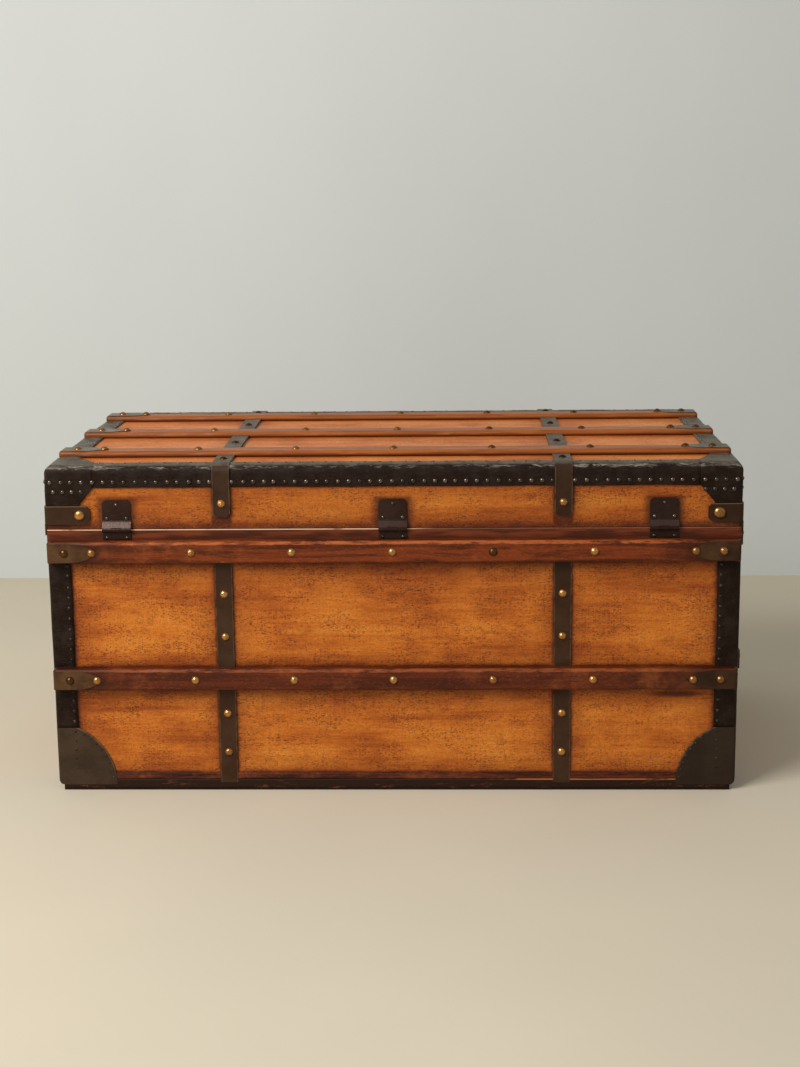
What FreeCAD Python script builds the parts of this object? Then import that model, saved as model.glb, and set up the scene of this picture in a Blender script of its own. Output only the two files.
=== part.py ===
import FreeCAD, Part
import math
import os

os.makedirs("parts", exist_ok=True)

# A travel trunk of plain boards, bound with leather and iron and ribbed with wooden battens.
# +X runs along the trunk, the hinges are on its -Y side and the lock on its +Y side, and z = 0
# is the floor that the two runners stand on.  All lengths are in millimetres.

# ---- The box ------------------------------------------------------------------------------
BODY_WIDTH = 900.0           # over the leather of the upright corners
BODY_DEPTH = 500.0
PARTING_HEIGHT = 356.0       # floor to the joint between body and lid
LID_HEIGHT = 84.5            # that joint to the lid's top edge
LID_CROWN = 1.0              # rise of the lid's middle above its edges
LID_GAP = 0.4                # daylight in the joint when the lid is shut
CORNER_RADIUS = 5.0          # upright corners
LID_EDGE_RADIUS = 12.0       # top edges of the lid
FOOT_RADIUS = 8.0            # bottom edges of the two ends
BOARD = 10.0                 # thickness of the walls
TOP_BOARD = 8.0
BOTTOM_BOARD = 10.0
SKIN = 2.0                   # leather, rim strips and body straps stand this far off the boards

# ---- Bottom -------------------------------------------------------------------------------
RUNNER_HEIGHT = 8.0
RUNNER_WIDTH = 30.0
RUNNER_INSET = 7.0           # runner's end to the end of the trunk
FOOT_BINDING_LOW = 3.0       # floor to the foot leather's lower edge
FOOT_BINDING_TOP = 16.0
FOOT_STRIP_TOP = 24.5        # floor to the top of the red strip above that leather

# ---- Battens round the body ---------------------------------------------------------------
BATTEN_WIDTH = 29.0
BATTEN_PROUD = 14.0          # beyond the leather
BATTEN_EDGE = 3.0            # rounding of the outer edges
BATTEN_END_INSET = 2.5       # batten's capped end to the end of the trunk
RIM_HEIGHT = 14.0            # joint to the top of the upper batten
LOWER_BATTEN_HEIGHT = 142.0  # floor to its underside
SIDE_BATTEN_SETBACK = 80.0   # upright corner to the end of a batten on the ends
CAP = 1.0                    # sheet of the iron caps on battens and slats
CAP_MARGIN = 2.0             # wood left bare between a cap and the long edges
CAP_SHOULDER = 28.0          # length of a cap's full width
BATTEN_CAP_LENGTH = 68.0
SLAT_CAP_LENGTH = 64.0

# ---- Straps, bindings and corner plates ---------------------------------------------------
STRAP_X = 220.5
STRAP_WIDTH = 22.5
STRAP_FOOT = 11.0            # floor to the body strap's end
STRAP_TUCK = 14.0            # strap's top end under the upper batten
STRAP_CLIP = 5.0             # clipped corners of the lid's straps and bands
BINDING_WIDTH = 30.0         # each leg of an upright corner binding
PLATE_WIDTH = 79.0           # corner plates, measured from the corner
PLATE_TOP = 87.0             # from the floor
PLATE_BULGE = 13.5           # of the plate's round edge beyond its chord

# ---- Lid ----------------------------------------------------------------------------------
LID_BINDING_DROP = 29.0      # leather on the lid's walls
LID_BINDING_TOP = 20.0       # leather on the lid's top, back and front
LID_BINDING_END_TOP = 34.5   # leather on the lid's top, ends
LEATHER_LEFT = 64.0          # corner leathers, along the trunk
LEATHER_RIGHT = 55.0
LEATHER_DEPTH = 64.0         # corner leathers, along the ends
LEATHER_SLANT = 19.0         # run of the slanting edge below the binding
LEATHER_BEVEL = 23.0         # its height
LEATHER_TUCK = 12.0          # leather's lower end behind the iron band
LID_STRAP = 1.5              # how far the lid's straps and bands stand off its leather
LID_STRAP_DROP = 68.5        # lid's top edge to the end of its strap
BAND_HEIGHT = 24.0           # iron band round the lid's lower corners
BAND_LIFT = 7.0              # joint to the band's lower edge
BAND_LEFT = 59.0             # band's return on the back and the front
BAND_RIGHT = 44.0
VALANCE_DROP = 8.0           # lip below the joint, on the ends
VALANCE_GAP = 0.5            # lip to the body
VALANCE_LIP = 1.3
VALANCE_SETBACK = 4.0        # valance's end to the face of the trunk

# ---- Slats on the lid ---------------------------------------------------------------------
SLAT_WIDTH = 34.0
SLAT_HEIGHT = 6.5            # above the leather
SLAT_EDGE = 3.0
SLAT_INSET = 85.0            # middle of an outer slat to the face of the trunk
SLAT_END_INSET = 6.5         # slat's capped end to the end of the trunk

# ---- Dome-headed nails --------------------------------------------------------------------
NAIL_HEAD_RADIUS = 5.5
NAIL_HEAD_HEIGHT = 3.5
NAIL_SHANK_RADIUS = 1.2
NAIL_HOLE_CLEARANCE = 0.05
NAIL_BITE = 5.0              # of the point in the board
NAIL_PITCH = 130.0
PITCHED_NAILS = 5            # nails at that pitch, on the middle of a batten or slat
END_NAIL_INSETS = (22.5, 58.0)   # from the end of a batten or slat
SIDE_NAIL_INSETS = (20.0, 80.0)  # from the end of a batten on the ends
LOWER_BAY_NAILS = (42.5, 35.0)   # strap's foot to the first nail, second nail to the batten
UPPER_BAY_NAILS = (40.5, 44.0)   # batten to the first nail, second nail to the batten
STRAP_END_NAIL = 17.5        # from the end of the lid's strap
STRAP_EDGE_NAIL = 36.0       # on the lid's top, from the face of the trunk
BAND_NAIL_INSET = 14.0       # from the band's tip

# ---- Hinges -------------------------------------------------------------------------------
HINGE_LEFT_INSET = 93.0      # middle of the hinge to the end of the trunk
HINGE_RIGHT_INSET = 100.0
HINGE_MIDDLE_X = 1.0
HINGE_WIDTH = 37.0
HINGE_SHEET = 1.6
HINGE_LEAF_HEIGHT = 38.5     # joint to the top of the lid's leaf
HINGE_KINK = 10.0            # joint to the fold in the lid's leaf
HINGE_FOOT_GAP = 1.0         # body leaf's foot to the upper batten
HINGE_BARREL_RADIUS = 3.2
HINGE_BARREL_GAP = 0.3       # barrel to the rim strip
HINGE_WRAP = 40.0            # degrees round the barrel to where the lid's leaf leaves it
HINGE_PIN_RADIUS = 1.5
PIN_CLEARANCE = 0.05
KNUCKLES = 3
KNUCKLE_GAP = 0.4
HINGE_CORNER = 6.0           # rounding of the leaf's top corners

# ---- Box lock -----------------------------------------------------------------------------
LOCK_WIDTH = 84.0
LOCK_HEIGHT = 62.0
LOCK_PROUD = 10.0            # beyond the leather
LOCK_TOP_DROP = 2.0          # joint to the top of the case
LOCK_WALL = 2.0
LOCK_EDGE = 1.5
BATTEN_LOCK_GAP = 8.0        # lock or clasp to the cut end of the upper front batten
LUG_WIDTH = 12.0
LUG_THICKNESS = 5.0
LUG_LENGTH = 20.0            # below the joint
LUG_CLEARANCE = 0.9
BOLT_THICKNESS = 2.6
BOLT_HEIGHT = 5.4
BOLT_LENGTH = 26.0
BOLT_CLEARANCE = 0.2
BOLT_LIFT = 3.0              # lug's tip to the underside of the bolt
BOLT_SETBACK = 2.0           # drawn bolt's tip to the lug
BOLT_GUIDE_INSET = 4.0       # bolt's ends to the ends of its guide
KEEPER_WIDTH = 60.0
KEEPER_HEIGHT = 36.0
KEEPER_SHEET = 3.0
KEEPER_LEDGE = 6.0
KEEPER_LIFT = 1.0            # joint to the keeper
KEYHOLE_RADIUS = 3.0
KEYHOLE_SLOT_WIDTH = 2.6
KEYHOLE_SLOT_LENGTH = 9.0
KEYHOLE_DROP = 34.0          # top of the case to the keyhole

# ---- Clasps -------------------------------------------------------------------------------
CLASP_INSET = 150.0          # middle of the clasp to the end of the trunk
CLASP_WIDTH = 34.0
CLASP_SHEET = 2.5
CLASP_TOP_GAP = 3.0          # base plate to the rim strip
CLASP_PIN_DROP = 52.0        # joint to the pin
CLASP_PIN_INSET = 9.0        # base's foot to the pin
CLASP_PIN_STANDOFF = 7.0     # pin to the board
CLASP_PIN_RADIUS = 1.5
CLASP_EAR = 3.0
CLASP_EAR_RADIUS = 4.5
CLASP_BARREL_RADIUS = 3.4
CLASP_SIDE_GAP = 0.4
LEVER_THICKNESS = 2.4
LEVER_RADIUS = 10.0          # of its round end, and half its width
STUD_LIFT = 13.0             # joint to the stud
STUD_RADIUS = 4.0
STUD_LENGTH = 8.0
STUD_HOLE_CLEARANCE = 1.5
STUD_PLATE_WIDTH = 28.0
STUD_PLATE_HEIGHT = 24.0

# ---- Handles on the ends ------------------------------------------------------------------
HANDLE_SPAN = 62.0           # middle of the trunk to the middle of a bracket
PIVOT_RISE = 20.0            # pivot above the middle of the bay between the battens
PIVOT_STANDOFF = 7.0         # pivot to the board
BRACKET_WIDTH = 30.0
BRACKET_HEIGHT = 36.0
BRACKET_SHEET = 2.0
BRACKET_BARREL_RADIUS = 5.0
ROD_RADIUS = 2.5
ROD_CLEARANCE = 0.08
RING_WIDTH = 39.0            # between the centres of the ring's sides
RING_DROP = 28.0             # between the centres of the ring's top and bottom
GRIP_THICKNESS = 11.0
GRIP_END_WIDTH = 31.0
GRIP_DEPTH = 18.0
GRIP_SAG = 30.0
GRIP_LIP = 6.0               # leather above the rod

HALF_WIDTH = BODY_WIDTH / 2
HALF_DEPTH = BODY_DEPTH / 2
BOARD_X = HALF_WIDTH - SKIN
BOARD_Y = HALF_DEPTH - SKIN
INNER_X = BOARD_X - BOARD
INNER_Y = BOARD_Y - BOARD
BODY_TOP = PARTING_HEIGHT - LID_GAP / 2
LID_BASE = PARTING_HEIGHT + LID_GAP / 2
LID_EDGE = PARTING_HEIGHT + LID_HEIGHT
BODY_FLOOR = RUNNER_HEIGHT + BOTTOM_BOARD
UPPER_BATTEN_TOP = PARTING_HEIGHT - RIM_HEIGHT
UPPER_BATTEN_LOW = UPPER_BATTEN_TOP - BATTEN_WIDTH
LOWER_BATTEN_TOP = LOWER_BATTEN_HEIGHT + BATTEN_WIDTH
UPPER_BATTEN_MIDDLE = UPPER_BATTEN_LOW + BATTEN_WIDTH / 2
LOWER_BATTEN_MIDDLE = LOWER_BATTEN_HEIGHT + BATTEN_WIDTH / 2
BATTEN_HALF_LENGTH = HALF_WIDTH - BATTEN_END_INSET - CAP
SIDE_BATTEN_HALF_LENGTH = HALF_DEPTH - SIDE_BATTEN_SETBACK - CAP
SLAT_HALF_LENGTH = HALF_WIDTH - SLAT_END_INSET - CAP
SLAT_PITCH = HALF_DEPTH - SLAT_INSET
LID_STRAP_END = LID_EDGE - LID_STRAP_DROP
LEATHER_LOW = LID_EDGE - LID_BINDING_DROP - LEATHER_BEVEL
BAND_LOW = PARTING_HEIGHT + BAND_LIFT
BAND_TOP = BAND_LOW + BAND_HEIGHT
HINGE_X = (-HALF_WIDTH + HINGE_LEFT_INSET, HINGE_MIDDLE_X, HALF_WIDTH - HINGE_RIGHT_INSET)
HINGE_AXIS_Y = -(HALF_DEPTH + HINGE_BARREL_GAP + HINGE_BARREL_RADIUS)
LOCK_FACE = HALF_DEPTH + LOCK_PROUD
CLASP_X = HALF_WIDTH - CLASP_INSET
PIVOT_X = BOARD_X + PIVOT_STANDOFF
PIVOT_HEIGHT = (LOWER_BATTEN_TOP + UPPER_BATTEN_LOW) / 2 + PIVOT_RISE
RING_BOTTOM = PIVOT_HEIGHT - RING_DROP

REACH = max(CORNER_RADIUS, LID_EDGE_RADIUS) + 2 * SKIN   # depth of a cutter laid on one face
NEAR = 1.0                   # an edge within this of a plane counts as lying on it
OVER = 1.0                   # how far a cutter runs past what it cuts
FAR = 2 * BODY_WIDTH         # beyond the trunk on every side

ORIGIN = FreeCAD.Vector(0, 0, 0)
X_AXIS = FreeCAD.Vector(1, 0, 0)
Y_AXIS = FreeCAD.Vector(0, 1, 0)

nodes = {}
nails = {"body": [], "lid": []}


# ---- Small tools --------------------------------------------------------------------------
def box(low, high):
    """A box between its lowest and highest corners."""
    size = [high[i] - low[i] for i in range(3)]
    return Part.makeBox(*size, FreeCAD.Vector(*low))


def rod(start, end, radius):
    """A round bar between two points."""
    path = FreeCAD.Vector(*end) - FreeCAD.Vector(*start)
    return Part.makeCylinder(radius, path.Length, FreeCAD.Vector(*start), path)


def mirror_x(shape):
    return shape.mirror(ORIGIN, X_AXIS)


def mirror_y(shape):
    return shape.mirror(ORIGIN, Y_AXIS)


def fuse(shapes):
    return shapes[0].fuse(shapes[1:]).removeSplitter()


def pieces(*names):
    """All the solids of some nodes."""
    return [solid for name in names for solid in nodes[name]]


def keep(name, shapes):
    """Files one or more solids under a node's name."""
    nodes[name] = [solid for shape in shapes for solid in shape.Solids]


def place(axis, u, v, depth):
    """A point of the plane square to an axis: x takes (y, z), y takes (x, z), z takes (x, y)."""
    coordinates = {"x": (depth, u, v), "y": (u, depth, v), "z": (u, v, depth)}
    return FreeCAD.Vector(*coordinates[axis])


def prism(axis, outline, start, end):
    """Extrudes an outline along an axis.  An outline is a list of corners (u, v) in order.  A
    corner with a third value is the middle of an arc between the corners beside it."""
    points = [place(axis, corner[0], corner[1], start) for corner in outline]
    on_arc = [len(corner) > 2 for corner in outline]
    count = len(points)
    edges = []
    for i in range(count):
        after = (i + 1) % count
        if on_arc[i]:
            continue
        if on_arc[after]:
            edges.append(Part.Arc(points[i], points[after], points[(after + 1) % count]).toShape())
        else:
            edges.append(Part.LineSegment(points[i], points[after]).toShape())
    face = Part.Face(Part.Wire(edges))
    return face.extrude(place(axis, 0, 0, end - start))


def rounded(shape, radius, chosen):
    """Rounds the edges whose middle point passes a test."""
    edges = [edge for edge in shape.Edges if chosen(edge.CenterOfMass)]
    return shape.makeFillet(radius, edges) if radius > 0 else shape


# ---- Envelopes of the body and the lid ----------------------------------------------------
def plan_block(inset, low, high):
    """A block with four rounded upright corners, its walls pushed in by inset."""
    half_x = HALF_WIDTH - inset
    half_y = HALF_DEPTH - inset
    block = box((-half_x, -half_y, low), (half_x, half_y, high))
    return rounded(block, CORNER_RADIUS - inset,
                   lambda c: abs(c.x) > half_x - NEAR and abs(c.y) > half_y - NEAR)


def body_envelope(inset):
    """The body's outer block, pushed in from its leather surface by inset."""
    half_x = HALF_WIDTH - inset
    ends = box((-half_x, -FAR, RUNNER_HEIGHT), (half_x, FAR, BODY_TOP))
    ends = rounded(ends, FOOT_RADIUS, lambda c: c.z < RUNNER_HEIGHT + NEAR and abs(c.y) < NEAR)
    return plan_block(inset, RUNNER_HEIGHT, BODY_TOP).common(ends)


def lid_section(inset, low):
    """The lid's section across its depth: upright walls under a shallow arc."""
    half_y = HALF_DEPTH - inset
    edge = LID_EDGE - inset
    return [(-half_y, low), (half_y, low), (half_y, edge), (0, edge + LID_CROWN, "arc"), (-half_y, edge)]


def crown_at(y, inset):
    """Height of the lid's top, pushed in by inset, at a distance from its middle."""
    half = HALF_DEPTH - inset
    radius = (half ** 2 + LID_CROWN ** 2) / (2 * LID_CROWN)
    return LID_EDGE - inset + LID_CROWN - radius + math.sqrt(radius ** 2 - y ** 2)


def lid_envelope(inset):
    """The lid's outer block, pushed in from its leather surface by inset."""
    half_x = HALF_WIDTH - inset
    half_y = HALF_DEPTH - inset
    edge = LID_EDGE - inset
    radius = LID_EDGE_RADIUS - inset
    block = prism("x", lid_section(inset, LID_BASE), -half_x, half_x)
    block = rounded(block, radius,
                    lambda c: abs(c.x) < NEAR and c.z > edge - NEAR and abs(c.y) > half_y - NEAR)
    ends = box((-half_x, -FAR, LID_BASE), (half_x, FAR, edge + LID_CROWN))
    ends = rounded(ends, radius, lambda c: c.z > edge and abs(c.y) < NEAR)
    return block.common(ends).common(plan_block(inset, LID_BASE, edge + 2 * LID_CROWN))


# ---- Boards -------------------------------------------------------------------------------
def file_walls(part, walls, back_name, front_name):
    """Cuts a ring of walls into a back and a front board with two ends between them."""
    back = walls.common(box((-FAR, -FAR, 0), (FAR, -INNER_Y, FAR)))
    left = walls.common(box((-FAR, -INNER_Y, 0), (-INNER_X, INNER_Y, FAR)))
    keep(part + back_name, [back])
    keep(part + front_name, [mirror_y(back)])
    keep(part + "_left_end", [left])
    keep(part + "_right_end", [mirror_x(left)])


def body_boards():
    wood = body_envelope(SKIN)
    bottom = box((-FAR, -FAR, 0), (FAR, FAR, BODY_FLOOR))
    keep("body_bottom", [wood.common(bottom)])
    file_walls("body", wood.cut(bottom), "_back_panel", "_front_panel")


def lid_boards():
    """The top board lies on the four rails."""
    wood = lid_envelope(SKIN)
    inset = SKIN + TOP_BOARD
    below = prism("x", lid_section(inset, 0), -FAR, FAR)
    below = below.fuse(box((-FAR, -FAR, 0), (FAR, FAR, LID_EDGE - inset)))
    keep("lid_top", [wood.cut(below)])
    file_walls("lid", wood.common(below), "_back_rail", "_front_rail")


def bottom_runners():
    half = HALF_WIDTH - RUNNER_INSET
    runner = box((-half, -BOARD_Y, 0), (half, -BOARD_Y + RUNNER_WIDTH, RUNNER_HEIGHT))
    keep("bottom_runners", [runner, mirror_y(runner)])


# ---- Leather, rim and iron on the body ----------------------------------------------------
def body_skin(low, high):
    """The layer of leather and iron round the body, between two heights."""
    layer = body_envelope(0).cut(body_envelope(SKIN))
    return layer.common(box((-FAR, -FAR, low), (FAR, FAR, high)))


def rim_strips():
    skin = body_skin(UPPER_BATTEN_TOP, FAR)
    back = skin.common(box((-FAR, -FAR, 0), (FAR, -BOARD_Y, FAR)))
    left = skin.common(box((-FAR, -BOARD_Y, 0), (0, BOARD_Y, FAR)))
    keep("rim_strips", [back, mirror_y(back), left, mirror_x(left)])


def corner_bindings():
    corner = box((-FAR, -FAR, 0), (-HALF_WIDTH + BINDING_WIDTH, -HALF_DEPTH + BINDING_WIDTH, FAR))
    left = body_skin(PLATE_TOP, UPPER_BATTEN_TOP).common(corner)
    back = [left, mirror_x(left)]
    keep("corner_bindings_back", back)
    keep("corner_bindings_front", [mirror_y(binding) for binding in back])


def plate_outline(corner):
    """The round-edged corner plate, seen square to a face whose corner is at -corner."""
    start = (BINDING_WIDTH, PLATE_TOP)
    end = (PLATE_WIDTH, RUNNER_HEIGHT)
    chord = math.dist(start, end)
    outward = ((start[1] - end[1]) / chord, (end[0] - start[0]) / chord)
    middle = [(start[i] + end[i]) / 2 + outward[i] * PLATE_BULGE for i in range(2)]
    return [(-corner, end[1]), (-corner + end[0], end[1]), (-corner + middle[0], middle[1], "arc"),
            (-corner + start[0], start[1]), (-corner, start[1])]


def corner_plates():
    on_back = prism("y", plate_outline(HALF_WIDTH), -HALF_DEPTH, -HALF_DEPTH + REACH)
    on_end = prism("x", plate_outline(HALF_DEPTH), -HALF_WIDTH, -HALF_WIDTH + REACH)
    left = body_skin(RUNNER_HEIGHT, PLATE_TOP).common(on_back.fuse(on_end))
    back = [left, mirror_x(left)]
    keep("corner_plates_back", back)
    keep("corner_plates_front", [mirror_y(plate) for plate in back])


def lid_strap_outline(low, high):
    """A strap of the lid, with clipped lower corners, seen from the back."""
    left = STRAP_X - STRAP_WIDTH / 2
    right = STRAP_X + STRAP_WIDTH / 2
    return [(left, high), (left, low + STRAP_CLIP), (left + STRAP_CLIP, low),
            (right - STRAP_CLIP, low), (right, low + STRAP_CLIP), (right, high)]


def body_straps():
    half = STRAP_WIDTH / 2
    strap = box((STRAP_X - half, -HALF_DEPTH, STRAP_FOOT),
                (STRAP_X + half, -BOARD_Y, UPPER_BATTEN_TOP - STRAP_TUCK))
    back = [strap, mirror_x(strap)]
    keep("straps_back", back)
    keep("straps_front", [mirror_y(strap) for strap in back])
    heights = (STRAP_FOOT + LOWER_BAY_NAILS[0], LOWER_BATTEN_HEIGHT - LOWER_BAY_NAILS[1],
               LOWER_BATTEN_TOP + UPPER_BAY_NAILS[0], UPPER_BATTEN_LOW - UPPER_BAY_NAILS[1])
    for height in heights:
        four_nails("body", (STRAP_X, HALF_DEPTH, height), "y", SKIN + NAIL_BITE)


def foot_trim(name, low, high):
    """A strip round the foot of the body, cut off at the corner plates and the straps."""
    half_x = HALF_WIDTH - PLATE_WIDTH
    half_y = HALF_DEPTH - PLATE_WIDTH
    iron = pieces("corner_plates_back", "corner_plates_front", "straps_back", "straps_front")
    back = box((-half_x, -HALF_DEPTH, low), (half_x, -BOARD_Y, high))
    end = body_skin(low, high).common(box((-FAR, -half_y, 0), (0, half_y, FAR)))
    keep(name, [strip.cut(iron) for strip in (back, mirror_y(back), end, mirror_x(end))])


# ---- Battens, slats and their caps --------------------------------------------------------
def rib_nail_places(half_length):
    """Distances of a rib's nails from its middle, each with whether it goes through a cap."""
    first = -(PITCHED_NAILS - 1) / 2
    places = [((first + i) * NAIL_PITCH, False) for i in range(PITCHED_NAILS)]
    ends = [half_length + CAP - inset for inset in END_NAIL_INSETS]
    return places + [(sign * x, True) for sign in (-1, 1) for x in ends]


def tongue(end, inward, middle, half, length):
    """A cap's outline: full width over the shoulder, then two arcs to a point.  inward is the
    direction, 1 or -1, from the rib's end to its middle."""
    run = length - CAP_SHOULDER
    radius = (run ** 2 + half ** 2) / (2 * half)
    angle = math.atan2(run, radius - half) / 2
    shoulder = end + inward * CAP_SHOULDER
    bow = shoulder + inward * radius * math.sin(angle)
    rise = half - radius * (1 - math.cos(angle))
    return [(end, middle - half), (shoulder, middle - half), (bow, middle - rise, "arc"),
            (shoulder + inward * run, middle), (bow, middle + rise, "arc"),
            (shoulder, middle + half), (end, middle + half)]


def batten(along, start, end, middle, grow):
    """A batten on the back, laid along x, or on the left end, laid along y, with rounded outer
    edges.  grow makes the same batten larger all round."""
    half = BATTEN_WIDTH / 2 + grow
    face = HALF_DEPTH if along == "x" else HALF_WIDTH
    outer = -(face + BATTEN_PROUD + grow)
    wall = -(face - SKIN)
    plan = [(start - grow, outer), (end + grow, outer), (end + grow, wall), (start - grow, wall)]
    corners = plan if along == "x" else [(v, u) for u, v in plan]
    bar = prism("z", corners, middle - half, middle + half)
    return rounded(bar, BATTEN_EDGE + grow, lambda c: (c.y if along == "x" else c.x) < outer + NEAR)


def batten_caps(along, half_length, middle):
    """The iron caps at both ends of a batten: a tongue on its face, bent over its end."""
    across = "y" if along == "x" else "x"
    face = HALF_DEPTH if along == "x" else HALF_WIDTH
    shell = batten(along, -half_length, half_length, middle, CAP)
    shell = shell.cut(batten(along, -half_length, half_length, middle, 0))
    caps = []
    for inward in (1, -1):
        end = -inward * (half_length + CAP)
        outline = tongue(end, inward, middle, BATTEN_WIDTH / 2 - CAP_MARGIN, BATTEN_CAP_LENGTH)
        caps.append(shell.common(prism(across, outline, -FAR, -face + SKIN)))
    return caps


def front_upper_spans():
    """The stretches of the upper front batten left between the corners, clasps and lock."""
    lock = LOCK_WIDTH / 2 + BATTEN_LOCK_GAP
    clasp = CLASP_WIDTH / 2 + BATTEN_LOCK_GAP
    right = [(lock, CLASP_X - clasp), (CLASP_X + clasp, BATTEN_HALF_LENGTH)]
    return right + [(-end, -start) for start, end in right]


def long_battens():
    half = BATTEN_HALF_LENGTH
    under_back = pieces("straps_back", "corner_bindings_back", "rim_strips")
    under_front = pieces("straps_front", "corner_bindings_front", "rim_strips")
    caps = batten_caps("x", half, UPPER_BATTEN_MIDDLE) + batten_caps("x", half, LOWER_BATTEN_MIDDLE)
    keep("batten_caps_back", [cap.cut(under_back) for cap in caps])
    keep("batten_caps_front", [mirror_y(cap).cut(under_front) for cap in caps])
    upper = batten("x", -half, half, UPPER_BATTEN_MIDDLE, 0)
    lower = batten("x", -half, half, LOWER_BATTEN_MIDDLE, 0)
    keep("batten_back_upper", [upper.cut(under_back)])
    keep("batten_back_lower", [lower.cut(under_back)])
    keep("batten_front_lower", [mirror_y(lower).cut(under_front)])
    stretches = [batten("x", start, end, UPPER_BATTEN_MIDDLE, 0) for start, end in front_upper_spans()]
    keep("battens_front_upper", [mirror_y(stretch).cut(under_front) for stretch in stretches])


def long_batten_nails():
    for x, capped in rib_nail_places(BATTEN_HALF_LENGTH):
        depth = HALF_DEPTH + BATTEN_PROUD + (CAP if capped else 0)
        length = depth - BOARD_Y + NAIL_BITE
        drive("body", (x, -depth, UPPER_BATTEN_MIDDLE), (0, -1, 0), length)
        drive("body", (x, -depth, LOWER_BATTEN_MIDDLE), (0, -1, 0), length)
        drive("body", (x, depth, LOWER_BATTEN_MIDDLE), (0, 1, 0), length)
        if any(start < x < end for start, end in front_upper_spans()):
            drive("body", (x, depth, UPPER_BATTEN_MIDDLE), (0, 1, 0), length)


def side_battens():
    half = SIDE_BATTEN_HALF_LENGTH
    bars = []
    caps = []
    for middle in (UPPER_BATTEN_MIDDLE, LOWER_BATTEN_MIDDLE):
        bars.append(batten("y", -half, half, middle, 0))
        caps += batten_caps("y", half, middle)
        for inset in SIDE_NAIL_INSETS:
            depth = HALF_WIDTH + BATTEN_PROUD + (CAP if inset < BATTEN_CAP_LENGTH else 0)
            four_nails("body", (depth, half + CAP - inset, middle), "x", depth - BOARD_X + NAIL_BITE)
    keep("battens_left_end", bars)
    keep("battens_right_end", [mirror_x(bar) for bar in bars])
    rim = pieces("rim_strips")
    keep("batten_caps_ends", [cap.cut(rim) for cap in caps + [mirror_x(cap) for cap in caps]])


# ---- Leather and iron on the lid ----------------------------------------------------------
def leather_outline(corner, width):
    """A corner leather, seen square to a wall whose corner is at -corner."""
    low = LEATHER_LOW - LEATHER_TUCK
    tip = width - LEATHER_SLANT
    return [(-corner, low), (-corner + tip, low), (-corner + tip, LEATHER_LOW),
            (-corner + width, LID_EDGE - LID_BINDING_DROP), (-corner + width, FAR), (-corner, FAR)]


def corner_leather(skin, width):
    """The folded leather over the left back corner of the lid."""
    back = prism("y", leather_outline(HALF_WIDTH, width), -HALF_DEPTH, -HALF_DEPTH + REACH)
    end = prism("x", leather_outline(HALF_DEPTH, LEATHER_DEPTH), -HALF_WIDTH, -HALF_WIDTH + REACH)
    outline = [(-HALF_WIDTH, -HALF_DEPTH), (-HALF_WIDTH + width, -HALF_DEPTH),
               (-HALF_WIDTH + width, -HALF_DEPTH + LID_BINDING_TOP),
               (-HALF_WIDTH + LID_BINDING_END_TOP, -HALF_DEPTH + LEATHER_DEPTH),
               (-HALF_WIDTH, -HALF_DEPTH + LEATHER_DEPTH)]
    top = prism("z", outline, LID_EDGE - REACH, FAR)
    return skin.common(fuse([back, end, top]))


def lid_leather():
    skin = lid_envelope(0).cut(lid_envelope(SKIN))
    low = LID_EDGE - LID_BINDING_DROP
    left = corner_leather(skin, LEATHER_LEFT)
    right = mirror_x(corner_leather(skin, LEATHER_RIGHT))
    keep("lid_corner_leathers", [left, mirror_y(left), right, mirror_y(right)])
    back = skin.common(box((-HALF_WIDTH + LEATHER_LEFT, -FAR, low),
                           (HALF_WIDTH - LEATHER_RIGHT, -HALF_DEPTH + LID_BINDING_TOP, FAR)))
    keep("lid_binding_back", [back])
    keep("lid_binding_front", [mirror_y(back)])
    half = HALF_DEPTH - LEATHER_DEPTH
    end = skin.common(box((-FAR, -half, low), (-HALF_WIDTH + LID_BINDING_END_TOP, half, FAR)))
    keep("lid_binding_ends", [end, mirror_x(end)])


def lid_cover():
    """All the leather on the lid."""
    return pieces("lid_corner_leathers", "lid_binding_back", "lid_binding_front", "lid_binding_ends")


def lid_straps():
    sheet = lid_envelope(-LID_STRAP).cut(lid_envelope(SKIN))
    strap = sheet.common(prism("y", lid_strap_outline(LID_STRAP_END, FAR), -FAR, FAR)).cut(lid_cover())
    keep("lid_straps", [strap, mirror_x(strap)])
    length = LID_STRAP + SKIN + NAIL_BITE
    four_nails("lid", (STRAP_X, HALF_DEPTH + LID_STRAP, LID_STRAP_END + STRAP_END_NAIL), "y", length)
    for y in (HALF_DEPTH - STRAP_EDGE_NAIL, SLAT_PITCH / 2):
        four_nails("lid", (STRAP_X, y, crown_at(y, -LID_STRAP)), "z", length)


def lid_bands():
    """The iron bands round the ends of the lid, low down, with a nail near each tip."""
    sheet = lid_envelope(-LID_STRAP).cut(lid_envelope(SKIN))
    bands = []
    for side, width in ((-1, BAND_LEFT), (1, BAND_RIGHT)):
        tip = side * (HALF_WIDTH - width)
        clipped = tip + side * STRAP_CLIP
        outline = [(side * FAR, BAND_LOW), (clipped, BAND_LOW), (tip, BAND_LOW + STRAP_CLIP),
                   (tip, BAND_TOP - STRAP_CLIP), (clipped, BAND_TOP), (side * FAR, BAND_TOP)]
        bands.append(sheet.common(prism("y", outline, -FAR, FAR)).cut(lid_cover()))
        for face in (-1, 1):
            point = (tip + side * BAND_NAIL_INSET, face * (HALF_DEPTH + LID_STRAP), (BAND_LOW + BAND_TOP) / 2)
            drive("lid", point, (0, face, 0), LID_STRAP + SKIN + NAIL_BITE)
    keep("lid_bands", bands)


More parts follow.
